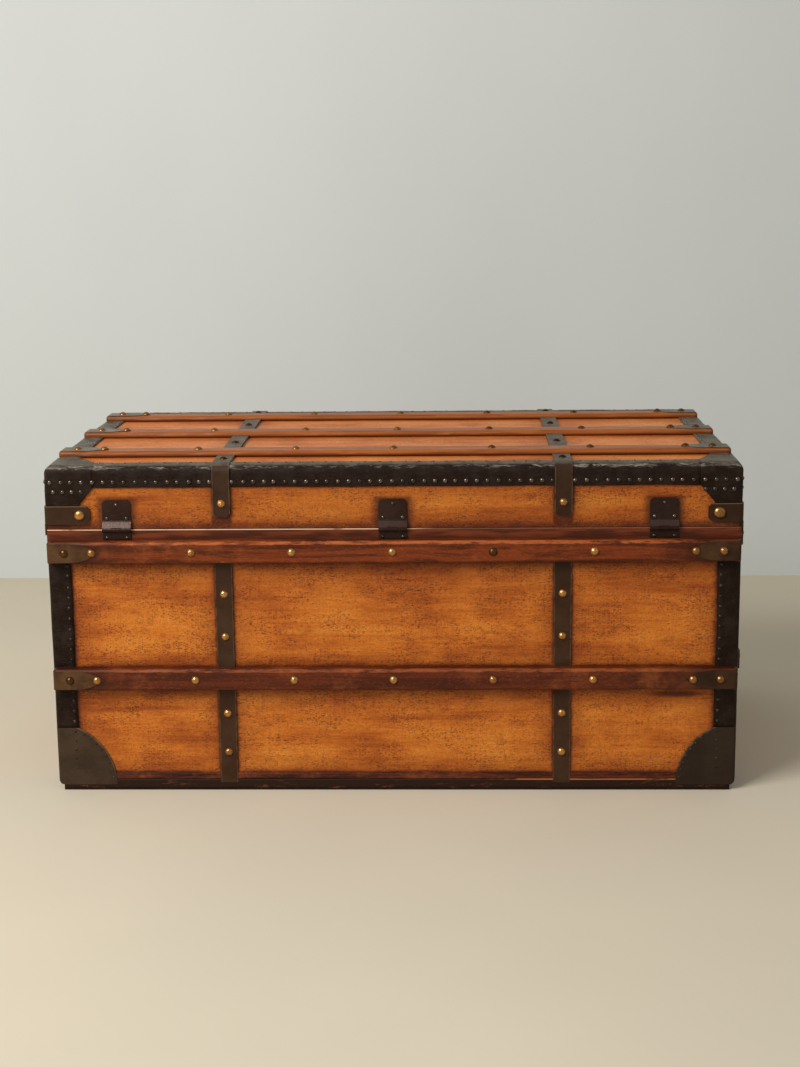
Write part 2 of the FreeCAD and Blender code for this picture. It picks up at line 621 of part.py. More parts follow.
def lid_valances():
    """The iron lips that close the joint on the two ends."""
    inner = HALF_WIDTH + VALANCE_GAP
    outer = inner + VALANCE_LIP
    low = PARTING_HEIGHT - VALANCE_DROP
    half = HALF_DEPTH - VALANCE_SETBACK
    section = [(-BOARD_X, LID_BASE), (-BOARD_X, BAND_LOW), (-outer, BAND_LOW), (-outer, low),
               (-inner, low), (-inner, LID_BASE)]
    valance = prism("y", section, -half, half).cut(lid_envelope(SKIN))
    keep("lid_valances", [valance, mirror_x(valance)])


def slat(y, grow):
    """A slat on the lid with rounded top edges.  grow makes the same slat larger all round."""
    half = SLAT_HALF_LENGTH + grow
    across = SLAT_WIDTH / 2 + grow
    top = crown_at(y, 0) + SLAT_HEIGHT + grow
    bar = box((-half, y - across, LID_EDGE - REACH), (half, y + across, top))
    return rounded(bar, SLAT_EDGE + grow, lambda c: c.z > top - NEAR)


def lid_slats():
    under = lid_cover() + nodes["lid_straps"] + [lid_envelope(SKIN)]
    caps = []
    for name, y in (("slat_back", -SLAT_PITCH), ("slat_middle", 0.0), ("slat_front", SLAT_PITCH)):
        keep(name, [slat(y, 0).cut(under)])
        shell = slat(y, CAP).cut([slat(y, 0)] + under)
        for inward in (1, -1):
            end = -inward * (SLAT_HALF_LENGTH + CAP)
            outline = tongue(end, inward, y, SLAT_WIDTH / 2 - CAP_MARGIN, SLAT_CAP_LENGTH)
            caps.append(shell.common(prism("z", outline, 0, FAR)))
        for x, capped in rib_nail_places(SLAT_HALF_LENGTH):
            height = crown_at(y, 0) + SLAT_HEIGHT + (CAP if capped else 0)
            drive("lid", (x, y, height), (0, 0, 1), height - crown_at(y, SKIN) + NAIL_BITE)
    keep("slat_caps", caps)


# ---- Hinges -------------------------------------------------------------------------------
def hinge_bar(x, start, end, radius):
    """A round bar on the hinge axis, between two distances from the hinge's middle."""
    return rod((x + start, HINGE_AXIS_Y, PARTING_HEIGHT), (x + end, HINGE_AXIS_Y, PARTING_HEIGHT), radius)


def hinge_body_leaf(x):
    """The leaf below the joint, with the middle knuckle."""
    half = HINGE_WIDTH / 2
    knuckle = HINGE_WIDTH / (2 * KNUCKLES) - KNUCKLE_GAP / 2
    leaf = box((x - half, -HALF_DEPTH - HINGE_SHEET, UPPER_BATTEN_TOP + HINGE_FOOT_GAP),
               (x + half, -HALF_DEPTH, BODY_TOP))
    room = hinge_bar(x, -half - OVER, half + OVER, HINGE_BARREL_RADIUS + KNUCKLE_GAP)
    above = box((x - half, -FAR, PARTING_HEIGHT), (x + half, 0, FAR))
    middle = box((x - knuckle, -FAR, 0), (x + knuckle, 0, FAR))
    leaf = leaf.cut(room.fuse(above).cut(middle))
    bore = hinge_bar(x, -half, half, HINGE_PIN_RADIUS + PIN_CLEARANCE)
    return fuse([leaf, hinge_bar(x, -knuckle, knuckle, HINGE_BARREL_RADIUS)]).cut(bore)


def hinge_lid_leaf(x):
    """The leaf on the lid, which folds out to the two outer knuckles."""
    half = HINGE_WIDTH / 2
    knuckle = HINGE_WIDTH / (2 * KNUCKLES) + KNUCKLE_GAP / 2
    kink = PARTING_HEIGHT + HINGE_KINK
    top = PARTING_HEIGHT + HINGE_LEAF_HEIGHT
    plate = box((x - half, -BOARD_Y - HINGE_SHEET, kink), (x + half, -BOARD_Y, top))
    plate = rounded(plate, HINGE_CORNER, lambda c: c.z > top - NEAR and abs(c.x - x) > half - NEAR)
    wrap = math.radians(HINGE_WRAP)
    rise = PARTING_HEIGHT + HINGE_BARREL_RADIUS * math.sin(wrap)
    outer = HINGE_AXIS_Y - HINGE_BARREL_RADIUS * math.cos(wrap)
    section = [(-BOARD_Y, kink), (-BOARD_Y, kink + HINGE_SHEET), (-BOARD_Y - HINGE_SHEET, kink + HINGE_SHEET),
               (outer, rise), (HINGE_AXIS_Y + HINGE_SHEET, rise)]
    ramp = prism("x", section, x - half, x + half)
    leaf = fuse([plate, ramp]).cut(hinge_bar(x, -knuckle, knuckle, HINGE_BARREL_RADIUS + KNUCKLE_GAP))
    barrels = [hinge_bar(x, *ends, HINGE_BARREL_RADIUS) for ends in ((-half, -knuckle), (knuckle, half))]
    bore = hinge_bar(x, -half, half, HINGE_PIN_RADIUS + PIN_CLEARANCE)
    return fuse([leaf] + barrels).cut(bore)


def hinges():
    keep("hinge_body_leaves", [hinge_body_leaf(x) for x in HINGE_X])
    keep("hinge_lid_leaves", [hinge_lid_leaf(x) for x in HINGE_X])
    keep("hinge_pins", [hinge_bar(x, -HINGE_WIDTH / 2, HINGE_WIDTH / 2, HINGE_PIN_RADIUS) for x in HINGE_X])


# ---- Box lock on the front ----------------------------------------------------------------
def lock():
    """A case on the body, a keeper on the lid with a lug that drops into the case, and a bolt
    that slides through the lug's eye."""
    half = LOCK_WIDTH / 2
    top = PARTING_HEIGHT - LOCK_TOP_DROP
    low = top - LOCK_HEIGHT
    back = HALF_DEPTH + LOCK_WALL / 2
    front = LOCK_FACE - LOCK_WALL
    middle = (back + front) / 2
    lug_tip = PARTING_HEIGHT - LUG_LENGTH
    bolt_low = lug_tip + BOLT_LIFT
    bolt_high = bolt_low + BOLT_HEIGHT
    bolt_tip = -LUG_WIDTH / 2 - BOLT_SETBACK
    bolt_end = bolt_tip - BOLT_LENGTH
    thin = BOLT_THICKNESS / 2
    clear = BOLT_CLEARANCE
    case = box((-half, BOARD_Y, low), (half, LOCK_FACE, top))
    case = rounded(case, LOCK_EDGE, lambda c: c.y > LOCK_FACE - NEAR)
    hollow = box((-half + LOCK_WALL, back, low + LOCK_WALL), (half - LOCK_WALL, front, top - LOCK_WALL))
    way = box((-half + LOCK_WALL, middle - thin - clear, bolt_low - clear),
              (half - LOCK_WALL, middle + thin + clear, bolt_high + clear))
    guide = box((bolt_end + BOLT_GUIDE_INSET, back, bolt_low - LOCK_WALL),
                (bolt_tip - BOLT_GUIDE_INSET, front, bolt_high + LOCK_WALL))
    across = LUG_THICKNESS / 2 + LUG_CLEARANCE
    slot = box((-LUG_WIDTH / 2 - LUG_CLEARANCE, middle - across, lug_tip),
               (LUG_WIDTH / 2 + LUG_CLEARANCE, middle + across, top + OVER))
    key_height = top - KEYHOLE_DROP
    keyhole = rod((0, front - OVER, key_height), (0, LOCK_FACE + OVER, key_height), KEYHOLE_RADIUS)
    slit = box((-KEYHOLE_SLOT_WIDTH / 2, front - OVER, key_height - KEYHOLE_SLOT_LENGTH),
               (KEYHOLE_SLOT_WIDTH / 2, LOCK_FACE + OVER, key_height))
    inside = [hollow.cut(guide.cut(way)), slot, keyhole, slit]
    keep("lock_case", [case.cut(inside + nodes["rim_strips"])])
    keep("lock_bolt", [box((bolt_end, middle - thin, bolt_low), (bolt_tip, middle + thin, bolt_high))])
    base = PARTING_HEIGHT + KEEPER_LIFT
    width = KEEPER_WIDTH / 2
    plate = box((-width, BOARD_Y, base), (width, BOARD_Y + KEEPER_SHEET, base + KEEPER_HEIGHT))
    ledge = box((-width, BOARD_Y, base), (width, LOCK_FACE, base + KEEPER_LEDGE))
    ledge = rounded(ledge, LOCK_EDGE, lambda c: c.y > LOCK_FACE - NEAR)
    lug = box((-LUG_WIDTH / 2, middle - LUG_THICKNESS / 2, lug_tip),
              (LUG_WIDTH / 2, middle + LUG_THICKNESS / 2, base + KEEPER_LEDGE / 2))
    keep("lock_keeper", [fuse([plate, ledge, lug]).cut([way] + lid_cover())])


# ---- Clasps on the front ------------------------------------------------------------------
def clasp_base(x, pin_y, pin_z, bore):
    half = CLASP_WIDTH / 2
    parts = [box((x - half, BOARD_Y, pin_z - CLASP_PIN_INSET),
                 (x + half, BOARD_Y + CLASP_SHEET, UPPER_BATTEN_TOP - CLASP_TOP_GAP))]
    for start in (x - half, x + half - CLASP_EAR):
        end = start + CLASP_EAR
        parts.append(rod((start, pin_y, pin_z), (end, pin_y, pin_z), CLASP_EAR_RADIUS))
        parts.append(box((start, BOARD_Y, pin_z - CLASP_EAR_RADIUS), (end, pin_y, pin_z + CLASP_EAR_RADIUS)))
    return fuse(parts).cut(bore)


def clasp_lever(x, pin_y, pin_z, bore):
    """The lever as it hangs open, its eye at the lower end."""
    inner = CLASP_WIDTH / 2 - CLASP_EAR - CLASP_SIDE_GAP
    back = pin_y - LEVER_THICKNESS / 2
    front = pin_y + LEVER_THICKNESS / 2
    eye_z = pin_z - CLASP_PIN_DROP - STUD_LIFT
    barrel = rod((x - inner, pin_y, pin_z), (x + inner, pin_y, pin_z), CLASP_BARREL_RADIUS)
    arm = box((x - LEVER_RADIUS, back, eye_z), (x + LEVER_RADIUS, front, pin_z))
    end = rod((x, back, eye_z), (x, front, eye_z), LEVER_RADIUS)
    eye = rod((x, back, eye_z), (x, front, eye_z), STUD_RADIUS + STUD_HOLE_CLEARANCE)
    return fuse([barrel, arm, end]).cut([eye, bore])


def clasp_stud(x):
    """The stud on the lid that the lever's eye goes over."""
    height = PARTING_HEIGHT + STUD_LIFT
    face = BOARD_Y + CLASP_SHEET
    plate = box((x - STUD_PLATE_WIDTH / 2, BOARD_Y, height - STUD_PLATE_HEIGHT / 2),
                (x + STUD_PLATE_WIDTH / 2, face, height + STUD_PLATE_HEIGHT / 2))
    return fuse([plate, rod((x, BOARD_Y, height), (x, face + STUD_LENGTH, height), STUD_RADIUS)])


def clasps():
    pin_y = BOARD_Y + CLASP_PIN_STANDOFF
    pin_z = PARTING_HEIGHT - CLASP_PIN_DROP
    half = CLASP_WIDTH / 2
    places = (-CLASP_X, CLASP_X)
    ends = [((x - half, pin_y, pin_z), (x + half, pin_y, pin_z)) for x in places]
    bores = [rod(start, end, CLASP_PIN_RADIUS + PIN_CLEARANCE) for start, end in ends]
    keep("clasp_bases", [clasp_base(x, pin_y, pin_z, bore) for x, bore in zip(places, bores)])
    keep("clasp_pins", [rod(start, end, CLASP_PIN_RADIUS) for start, end in ends])
    for side, x, bore in zip(("left", "right"), places, bores):
        keep("clasp_" + side + "_lever", [clasp_lever(x, pin_y, pin_z, bore)])
    keep("clasp_studs", [clasp_stud(x) for x in places])


# ---- Handles on the ends ------------------------------------------------------------------
def bracket(y):
    """A plate with a barrel that the ring's top bar turns in."""
    start = y - BRACKET_WIDTH / 2
    end = y + BRACKET_WIDTH / 2
    low = PIVOT_HEIGHT - BRACKET_HEIGHT / 2
    plate = box((BOARD_X, start, low), (BOARD_X + BRACKET_SHEET, end, low + BRACKET_HEIGHT))
    web = box((BOARD_X, start, PIVOT_HEIGHT - BRACKET_BARREL_RADIUS),
              (PIVOT_X, end, PIVOT_HEIGHT + BRACKET_BARREL_RADIUS))
    pivot = ((PIVOT_X, start, PIVOT_HEIGHT), (PIVOT_X, end, PIVOT_HEIGHT))
    solid = fuse([plate, web, rod(*pivot, BRACKET_BARREL_RADIUS)])
    return solid.cut(rod(*pivot, ROD_RADIUS + ROD_CLEARANCE))


def ring(y):
    """A rectangular ring of round iron, hanging from its top bar."""
    left = y - RING_WIDTH / 2
    right = y + RING_WIDTH / 2
    corners = [(PIVOT_X, left, PIVOT_HEIGHT), (PIVOT_X, right, PIVOT_HEIGHT),
               (PIVOT_X, right, RING_BOTTOM), (PIVOT_X, left, RING_BOTTOM)]
    bars = [rod(corners[i - 1], corners[i], ROD_RADIUS) for i in range(len(corners))]
    return fuse(bars + [Part.makeSphere(ROD_RADIUS, FreeCAD.Vector(*corner)) for corner in corners])


def grip_outline():
    """The leather grip seen from the end of the trunk: two upright ends and a sagging bar."""
    outer = HANDLE_SPAN + GRIP_END_WIDTH / 2
    inner = HANDLE_SPAN - GRIP_END_WIDTH / 2
    top = RING_BOTTOM + GRIP_LIP
    shoulder = RING_BOTTOM - GRIP_LIP
    upper = shoulder - GRIP_SAG + GRIP_DEPTH / 2
    return [(-outer, top), (-outer, shoulder - GRIP_DEPTH / 2), (0, upper - GRIP_DEPTH, "arc"),
            (outer, shoulder - GRIP_DEPTH / 2), (outer, top), (inner, top), (inner, shoulder),
            (0, upper, "arc"), (-inner, shoulder), (-inner, top)]


def handles():
    places = (-HANDLE_SPAN, HANDLE_SPAN)
    rings = [ring(y) for y in places]
    right = {"brackets": [bracket(y) for y in places], "loops": rings}
    grip = prism("x", grip_outline(), PIVOT_X - GRIP_THICKNESS / 2, PIVOT_X + GRIP_THICKNESS / 2)
    right["grip"] = [grip.cut(rings)]
    for name, shapes in right.items():
        keep("handle_right_" + name, shapes)
        keep("handle_left_" + name, [mirror_x(shape) for shape in shapes])


# ---- Nails --------------------------------------------------------------------------------
def drive(group, point, outward, length):
    """Notes a nail: where its head sits, which way it faces, and its length below the head."""
    nails[group].append((FreeCAD.Vector(*point), FreeCAD.Vector(*outward), length))


def four_nails(group, point, axis, length):
    """Notes a nail and its images across the trunk's two middle planes."""
    x, y, z = point
    for side_x in (-1, 1):
        for side_y in (-1, 1):
            outward = {"x": (side_x, 0, 0), "y": (0, side_y, 0), "z": (0, 0, 1)}[axis]
            drive(group, (side_x * x, side_y * y, z), outward, length)


def nail(point, outward, length):
    """A dome head on a round shank."""
    ball_radius = (NAIL_HEAD_RADIUS ** 2 + NAIL_HEAD_HEIGHT ** 2) / (2 * NAIL_HEAD_HEIGHT)
    ball = Part.makeSphere(ball_radius, point + outward * (NAIL_HEAD_HEIGHT - ball_radius), outward)
    head = ball.common(Part.makeCylinder(NAIL_HEAD_RADIUS, NAIL_HEAD_HEIGHT, point, outward))
    return fuse([head, Part.makeCylinder(NAIL_SHANK_RADIUS, length, point, outward * -1)])


def nail_hole(point, outward, length):
    return Part.makeCylinder(NAIL_SHANK_RADIUS + NAIL_HOLE_CLEARANCE, length + NAIL_HOLE_CLEARANCE,
                             point, outward * -1)


def drill_holes():
    """Drills every piece that a nail's shank passes through."""
    holes = [nail_hole(*one) for group in nails.values() for one in group]
    for solids in nodes.values():
        for i, solid in enumerate(solids):
            through = [hole for hole in holes if solid.BoundBox.intersect(hole.BoundBox)]
            if through:
                solids[i] = solid.cut(through).Solids[0]


def brass_nails():
    """Makes the nails.  A head on the crowned lid is cut to the slope that it sits on."""
    slopes = pieces("lid_straps")
    keep("brass_nails_body", [nail(*one) for one in nails["body"]])
    keep("brass_nails_lid", [nail(*one).cut(slopes) for one in nails["lid"]])


body_boards()
lid_boards()
bottom_runners()
rim_strips()
corner_bindings()
corner_plates()
body_straps()
foot_trim("bottom_binding", FOOT_BINDING_LOW, FOOT_BINDING_TOP)
foot_trim("bottom_moulding", FOOT_BINDING_TOP, FOOT_STRIP_TOP)
long_battens()
long_batten_nails()
side_battens()
lid_leather()
lid_straps()
lid_bands()
lid_valances()
lid_slats()
hinges()
lock()
clasps()
handles()
drill_holes()
brass_nails()

for name, solids in nodes.items():
    Part.makeCompound(solids).exportStep("parts/" + name + ".step")
    print(name, len(solids))
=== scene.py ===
import itertools
import math

import bmesh
import bpy
import numpy as np
from bpy.props import FloatProperty, FloatVectorProperty, PointerProperty
from bpy.types import Operator, Panel, PropertyGroup
from mathutils import Matrix, Vector


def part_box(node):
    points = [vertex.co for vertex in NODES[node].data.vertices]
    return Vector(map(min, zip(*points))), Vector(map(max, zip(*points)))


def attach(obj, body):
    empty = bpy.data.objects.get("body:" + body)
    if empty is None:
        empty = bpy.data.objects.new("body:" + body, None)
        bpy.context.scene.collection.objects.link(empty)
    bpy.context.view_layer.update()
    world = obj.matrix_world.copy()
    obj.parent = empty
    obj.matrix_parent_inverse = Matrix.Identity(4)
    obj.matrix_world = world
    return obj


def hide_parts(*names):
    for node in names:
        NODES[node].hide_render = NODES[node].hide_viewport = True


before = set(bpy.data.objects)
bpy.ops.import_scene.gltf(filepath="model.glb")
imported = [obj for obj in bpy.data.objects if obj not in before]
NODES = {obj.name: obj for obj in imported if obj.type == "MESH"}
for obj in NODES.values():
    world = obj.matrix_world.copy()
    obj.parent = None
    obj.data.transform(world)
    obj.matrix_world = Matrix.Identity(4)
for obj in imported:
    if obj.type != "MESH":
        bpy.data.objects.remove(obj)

bl_info = {
    "name": "Travel trunk",
    "version": (1, 0, 0),
    "blender": (4, 5, 0),
    "location": "3D View > Sidebar > Trunk",
    "description": "Dresses a travel trunk: worn boards and battens, nailed leather, iron and brass",
    "category": "Object",
}

PLATE_ENDS = ((0.030, 0.087), (0.079, 0.008))   # a corner plate's round edge, from the corner
PLATE_BULGE = 0.0135                            # how far that edge bows out
HINGES = (-0.357, 0.001, 0.350)                 # middles of the hinges
STRAP = 0.2205                                  # middle of a cross strap, to either side
# Walls: the axis that each runs along, its side, and its word in the names of pieces.
BACK, FRONT, LEFT, RIGHT = (0, -1, "back"), (0, 1, "front"), (1, -1, "left"), (1, 1, "right")


# ---- What a user would change -------------------------------------------------------------
def length(name, description, default):
    return FloatProperty(name=name, description=description, default=default, unit="LENGTH")


def colour(name, description, default):
    """A colour as a screen shows it; paint() turns it into the shader's linear values."""
    return FloatVectorProperty(name=name, description=description, default=default, size=3,
                               min=0.0, max=1.0, subtype="COLOR_GAMMA")


class TrunkSizes(PropertyGroup):
    """Sizes of the trunk's outline and of what is made here."""
    half_width: length("Half width", "Middle of the trunk to the leather on its ends", 0.45)
    half_depth: length("Half depth", "Middle of the trunk to the leather on its back", 0.25)
    lid_edge: length("Lid edge", "Floor to the lid's top edges", 0.4405)
    lid_crown: length("Lid crown", "Rise of the lid's middle above its edges", 0.001)
    edge_round: length("Edge round", "Radius of the lid's top edges", 0.012)
    corner_round: length("Corner round", "Radius of the upright corners", 0.005)
    leather: length("Leather", "Thickness of the leather", 0.0018)
    ripple: length("Leather ripple", "How uneven the leather lies", 0.0004)
    wear: length("Wear", "Depth of the dents in the wooden edges", 0.0011)
    tack_radius: length("Tack radius", "Radius of a small iron tack's head", 0.0030)
    tack_pitch: length("Tack pitch", "Distance between tacks on the leather", 0.0138)
    stitch_pitch: length("Stitch pitch", "Distance between stitches on the grips", 0.0042)


class TrunkColours(PropertyGroup):
    """Colours of the finishes."""
    board_light: colour("Board, light", "Varnished board where it is palest", (0.84, 0.515, 0.185))
    board_middle: colour("Board", "Varnished board", (0.76, 0.415, 0.125))
    board_dark: colour("Board, dark", "Stained board", (0.54, 0.24, 0.065))
    # The edge tone also stands for the painted shade against the fittings.
    board_edge: colour("Board, edges", "Stained board against the fittings", (0.43, 0.165, 0.045))
    batten: colour("Upper batten", "Varnished batten under the lid", (0.46, 0.19, 0.055))
    batten_low: colour("Lower batten", "Smoother, darker batten", (0.355, 0.14, 0.052))
    # This worn colour also serves as the painted highlight along the battens' upper edges.
    batten_worn: colour("Batten, worn", "Batten where the varnish is rubbed away", (0.73, 0.39, 0.19))
    slat: colour("Slat", "Varnished slat on the lid", (0.86, 0.50, 0.21))
    leather: colour("Leather", "Black leather", (0.110, 0.052, 0.018))
    # This worn colour also serves as the painted highlight on the leather's bend.
    leather_worn: colour("Leather, worn", "Leather where it is chafed", (0.45, 0.41, 0.37))
    iron: colour("Iron", "Oxidised sheet iron", (0.215, 0.125, 0.062))
    iron_worn: colour("Iron, worn", "Iron where it is rubbed", (0.42, 0.34, 0.25))
    brass: colour("Brass", "Tarnished brass", (0.76, 0.55, 0.32))
    red: colour("Moulding", "Dark red strip along the foot", (0.34, 0.14, 0.07))
    thread: colour("Thread", "Linen thread of the grips", (0.62, 0.52, 0.36))
    floor: colour("Floor", "Floor", (0.80, 0.755, 0.67))
    wall: colour("Wall", "Wall behind the trunk", (0.81, 0.82, 0.805))


class TrunkStage(PropertyGroup):
    """Camera and lamps."""
    camera_place: FloatVectorProperty(name="Camera place", description="Where the camera stands",
                                      default=(0.0808, -2.4995, 0.8214), size=3, subtype="XYZ")
    camera_turn: FloatVectorProperty(name="Camera turn", description="Camera's pitch down, yaw and roll",
                                     default=(0.20682, -0.031416, -0.010838), size=3, subtype="EULER")
    lens: FloatProperty(name="Lens", description="Focal length in millimetres", default=60.08)
    wall_distance: length("Wall distance", "Middle of the trunk to the wall behind it", 0.99)
    key: FloatProperty(name="Key lamp", description="Power of the large lamp", default=84.0,
                       unit="POWER")
    fill: FloatProperty(name="Fill lamp", description="Power of the fill lamp", default=3.0,
                        unit="POWER")
    sky: FloatProperty(name="Sky", description="Strength of the light from all round", default=0.48)


def paint(value):
    """Screen colour to linear: the screen's transfer curve undone, with alpha 1."""
    c = np.array(value[:], float)
    linear = np.where(c <= 0.04045, c / 12.92, ((c + 0.055) / 1.055) ** 2.4)
    return (*linear.tolist(), 1.0)


# ---- Meshes -------------------------------------------------------------------------------
def ripples(points, wavelength, seed):
    """Smooth random value of about -1 to 1 at each point: the mean of nine cosine waves with
    random directions, whose lengths spread round the given one."""
    rng = np.random.default_rng(seed)
    directions = rng.normal(size=(9, 3))
    directions /= np.linalg.norm(directions, axis=1)[:, None]
    waves = directions * (2 * np.pi / (wavelength * rng.uniform(0.6, 1.7, 9)))[:, None]
    return np.cos(points @ waves.T + rng.uniform(0, 2 * np.pi, 9)).mean(axis=-1) * 2.2


def make_piece(name, points, faces, body, material, fields=None):
    """Makes a mesh object, merges its doubled points and says what it rides on."""
    mesh = bpy.data.meshes.new(name)
    mesh.from_pydata(points.reshape(-1, 3).tolist(), [], faces)
    for key, values in (fields or {}).items():
        layer = mesh.attributes.new(key, "FLOAT", "POINT")
        layer.data.foreach_set("value", np.asarray(values, np.float32).ravel())
    work = bmesh.new()
    work.from_mesh(mesh)
    bmesh.ops.remove_doubles(work, verts=work.verts, dist=2e-6)
    work.to_mesh(mesh)
    work.free()
    mesh.shade_smooth()
    mesh.materials.append(material)
    piece = bpy.data.objects.new(name, mesh)
    bpy.context.scene.collection.objects.link(piece)
    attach(piece, body)
    return piece


def grid_faces(points, outward, closed=False):
    """Quads of a grid of points (rows, columns, 3), turned so that they face along outward."""
    rows, columns = points.shape[:2]
    index = np.arange(rows * columns).reshape(rows, columns)
    if closed:
        index = np.concatenate([index, index[:, :1]], axis=1)
    quads = np.stack([index[:-1, :-1], index[:-1, 1:], index[1:, 1:], index[1:, :-1]], axis=-1)
    quads = quads.reshape(-1, 4)
    flat = points.reshape(-1, 3)
    normal = np.cross(flat[quads[:, 2]] - flat[quads[:, 0]], flat[quads[:, 3]] - flat[quads[:, 1]])
    facing = (normal * outward.reshape(-1, 3)[quads].mean(axis=1)).sum()
    return (quads if facing > 0 else quads[:, ::-1]).tolist()


def thicken(piece, thickness):
    """Gives an open sheet its thickness, inwards from the surface."""
    solid = piece.modifiers.new("Thickness", "SOLIDIFY")
    solid.thickness = thickness
    solid.offset = -1.0


def end_face(points, ring, direction):
    """Closes a tube: the ring of point numbers as one face that looks along the direction."""
    corner = points.reshape(-1, 3)[ring]
    spokes = corner - corner.mean(0)
    normal = np.cross(spokes, np.roll(corner, -1, axis=0) - corner.mean(0)).sum(0)
    return ring if normal @ direction > 0 else ring[::-1]


def rounded_loop(across, out, outer_round, inner_round):
    """Closed loop round a rectangle from (low, high) across and (wall, face) out: quarter circles
    at the corners joined by straight runs.  Returns points and how near each is to the face's
    two corners, 0 to 1."""
    arc_points, run_points = 5, 8
    low, high = across
    wall, face = out
    corners = [(low, wall, inner_round, 180), (high, wall, inner_round, 270),
               (high, face, outer_round, 0), (low, face, outer_round, 90)]
    arcs = []
    for a, o, r, start in corners:
        angle = np.radians(start + np.linspace(0, 90, arc_points))
        centre = (a + (r if a == low else -r), o + (r if o == wall else -r))
        arcs.append(np.stack([centre[0] + r * np.cos(angle), centre[1] + r * np.sin(angle)], -1))
    points = []
    nearness = []
    # The outer corner at the high end of the section weighs most and the other outer one less: partly
    # wear, partly a painted highlight on the edge the light falls on, the upper one on a batten.
    worn = (0.0, 0.0, 1.0, 0.7)
    ease = (1 - np.cos(np.linspace(0, np.pi, run_points + 2)[1:-1])) / 2
    for k, arc in enumerate(arcs):
        following = arcs[(k + 1) % 4]
        run = arc[-1] + (following[0] - arc[-1]) * ease[:, None]
        points += [arc, run]
        fade = worn[k] * np.clip(1 - ease * 9, 0, 1)
        fade += worn[(k + 1) % 4] * np.clip(1 - (1 - ease) * 9, 0, 1)
        nearness += [np.full(arc_points, worn[k]), fade]
    return np.concatenate(points), np.concatenate(nearness)


def wooden_bar(name, axes, span, across, out, node, material, body, seed, rounding=0.0038):
    """A worn wooden bar: a rounded section carried along a straight path.  The long edges wander
    by a slow ripple and are dented inwards where a quicker ripple is high.  axes gives the axis
    and sign of the path, of the section's width and of its outward side."""
    sizes = bpy.context.scene.trunk_sizes
    loop, edge = rounded_loop(across, out, rounding, 0.0005)
    rows = max(3, round((span[1] - span[0]) / 0.005))
    path = np.linspace(span[0], span[1], rows)
    local = np.zeros((rows, len(loop), 3))
    local[..., 0] = path[:, None]
    local[..., 1:] = loop[None]
    middle = np.array([(across[0] + across[1]) / 2, (out[0] + out[1]) / 2])
    outward = np.zeros_like(local)
    outward[..., 1:] = loop[None] - middle
    dent = np.clip(ripples(local, 0.022, seed) - 0.35, 0, 1) * edge[None]
    half_section = 0.012
    local[..., 1:] -= outward[..., 1:] * (dent * sizes.wear / half_section)[..., None]
    inside = np.clip(1 - np.abs(loop[:, 1] - out[0]) / 0.002, 0, 1)
    wander = ripples(local * np.array([1.0, 0.05, 0.05]), 0.16, seed + 1) * sizes.wear * 0.35
    local[..., 2] -= np.abs(wander) * (1 - inside[None])
    points = np.zeros_like(local)
    facing = np.zeros_like(local)
    for k, (axis, sign) in enumerate(axes):
        points[..., axis] = local[..., k] * sign
        facing[..., axis] = outward[..., k] * sign
    faces = grid_faces(points, facing, closed=True)
    count = len(loop)
    last = (rows - 1) * count
    direction = np.zeros(3)
    direction[axes[0][0]] = axes[0][1]
    faces.append(end_face(points, list(range(count)), -direction))
    faces.append(end_face(points, list(range(last + count - 1, last - 1, -1)), direction))
    worn = np.broadcast_to(edge[None], (rows, count))
    piece = make_piece(name, points, faces, body, material, {"edge": worn})
    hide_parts(node)


# ---- Leather ------------------------------------------------------------------------------
def half_sizes():
    """Half width and half depth, in the order of the axes."""
    sizes = bpy.context.scene.trunk_sizes
    return sizes.half_width, sizes.half_depth


def on_wall(axis, side, run, heights, sink=0.0):
    """Points and normals on a wall of the trunk: on the back or front (axis 0) or on an end (axis
    1), at the given places along it and at the given heights, sunk inwards."""
    points = np.zeros((len(run), 3))
    points[:, axis] = run
    points[:, 1 - axis] = (half_sizes()[1 - axis] - sink) * side
    points[:, 2] = heights
    normals = np.zeros_like(points)
    normals[:, 1 - axis] = side
    return points, normals


def crown(y):
    """Height of the lid's top: a shallow parabola across the depth."""
    sizes = bpy.context.scene.trunk_sizes
    return sizes.lid_edge + sizes.lid_crown * (1 - np.clip(np.abs(y) / sizes.half_depth, 0, 1) ** 2)


def corner_path(sides, leg_back, leg_end):
    """Plan of the outline round one corner: along the back, round a quarter circle, along the
    end.  Returns points, outward normals and each point's distance from the corner; the two legs
    are sampled at the same distances, so that their sheets meet on the mitre."""
    sizes = bpy.context.scene.trunk_sizes
    r = sizes.corner_round
    back = leg_back[::-1]
    angle = np.linspace(0, np.pi / 2, 8)[1:-1]
    p = np.concatenate([back, r - r * np.sin(angle), np.zeros(len(leg_end))])
    q = np.concatenate([np.zeros(len(back)), r - r * np.cos(angle), leg_end])
    nx = np.concatenate([np.zeros(len(back)), np.sin(angle), np.ones(len(leg_end))])
    ny = np.concatenate([np.ones(len(back)), np.cos(angle), np.zeros(len(leg_end))])
    plan = np.stack([(sizes.half_width - p) * sides[0], (sizes.half_depth - q) * sides[1]], -1)
    return plan, np.stack([nx * sides[0], ny * sides[1]], -1), p, q


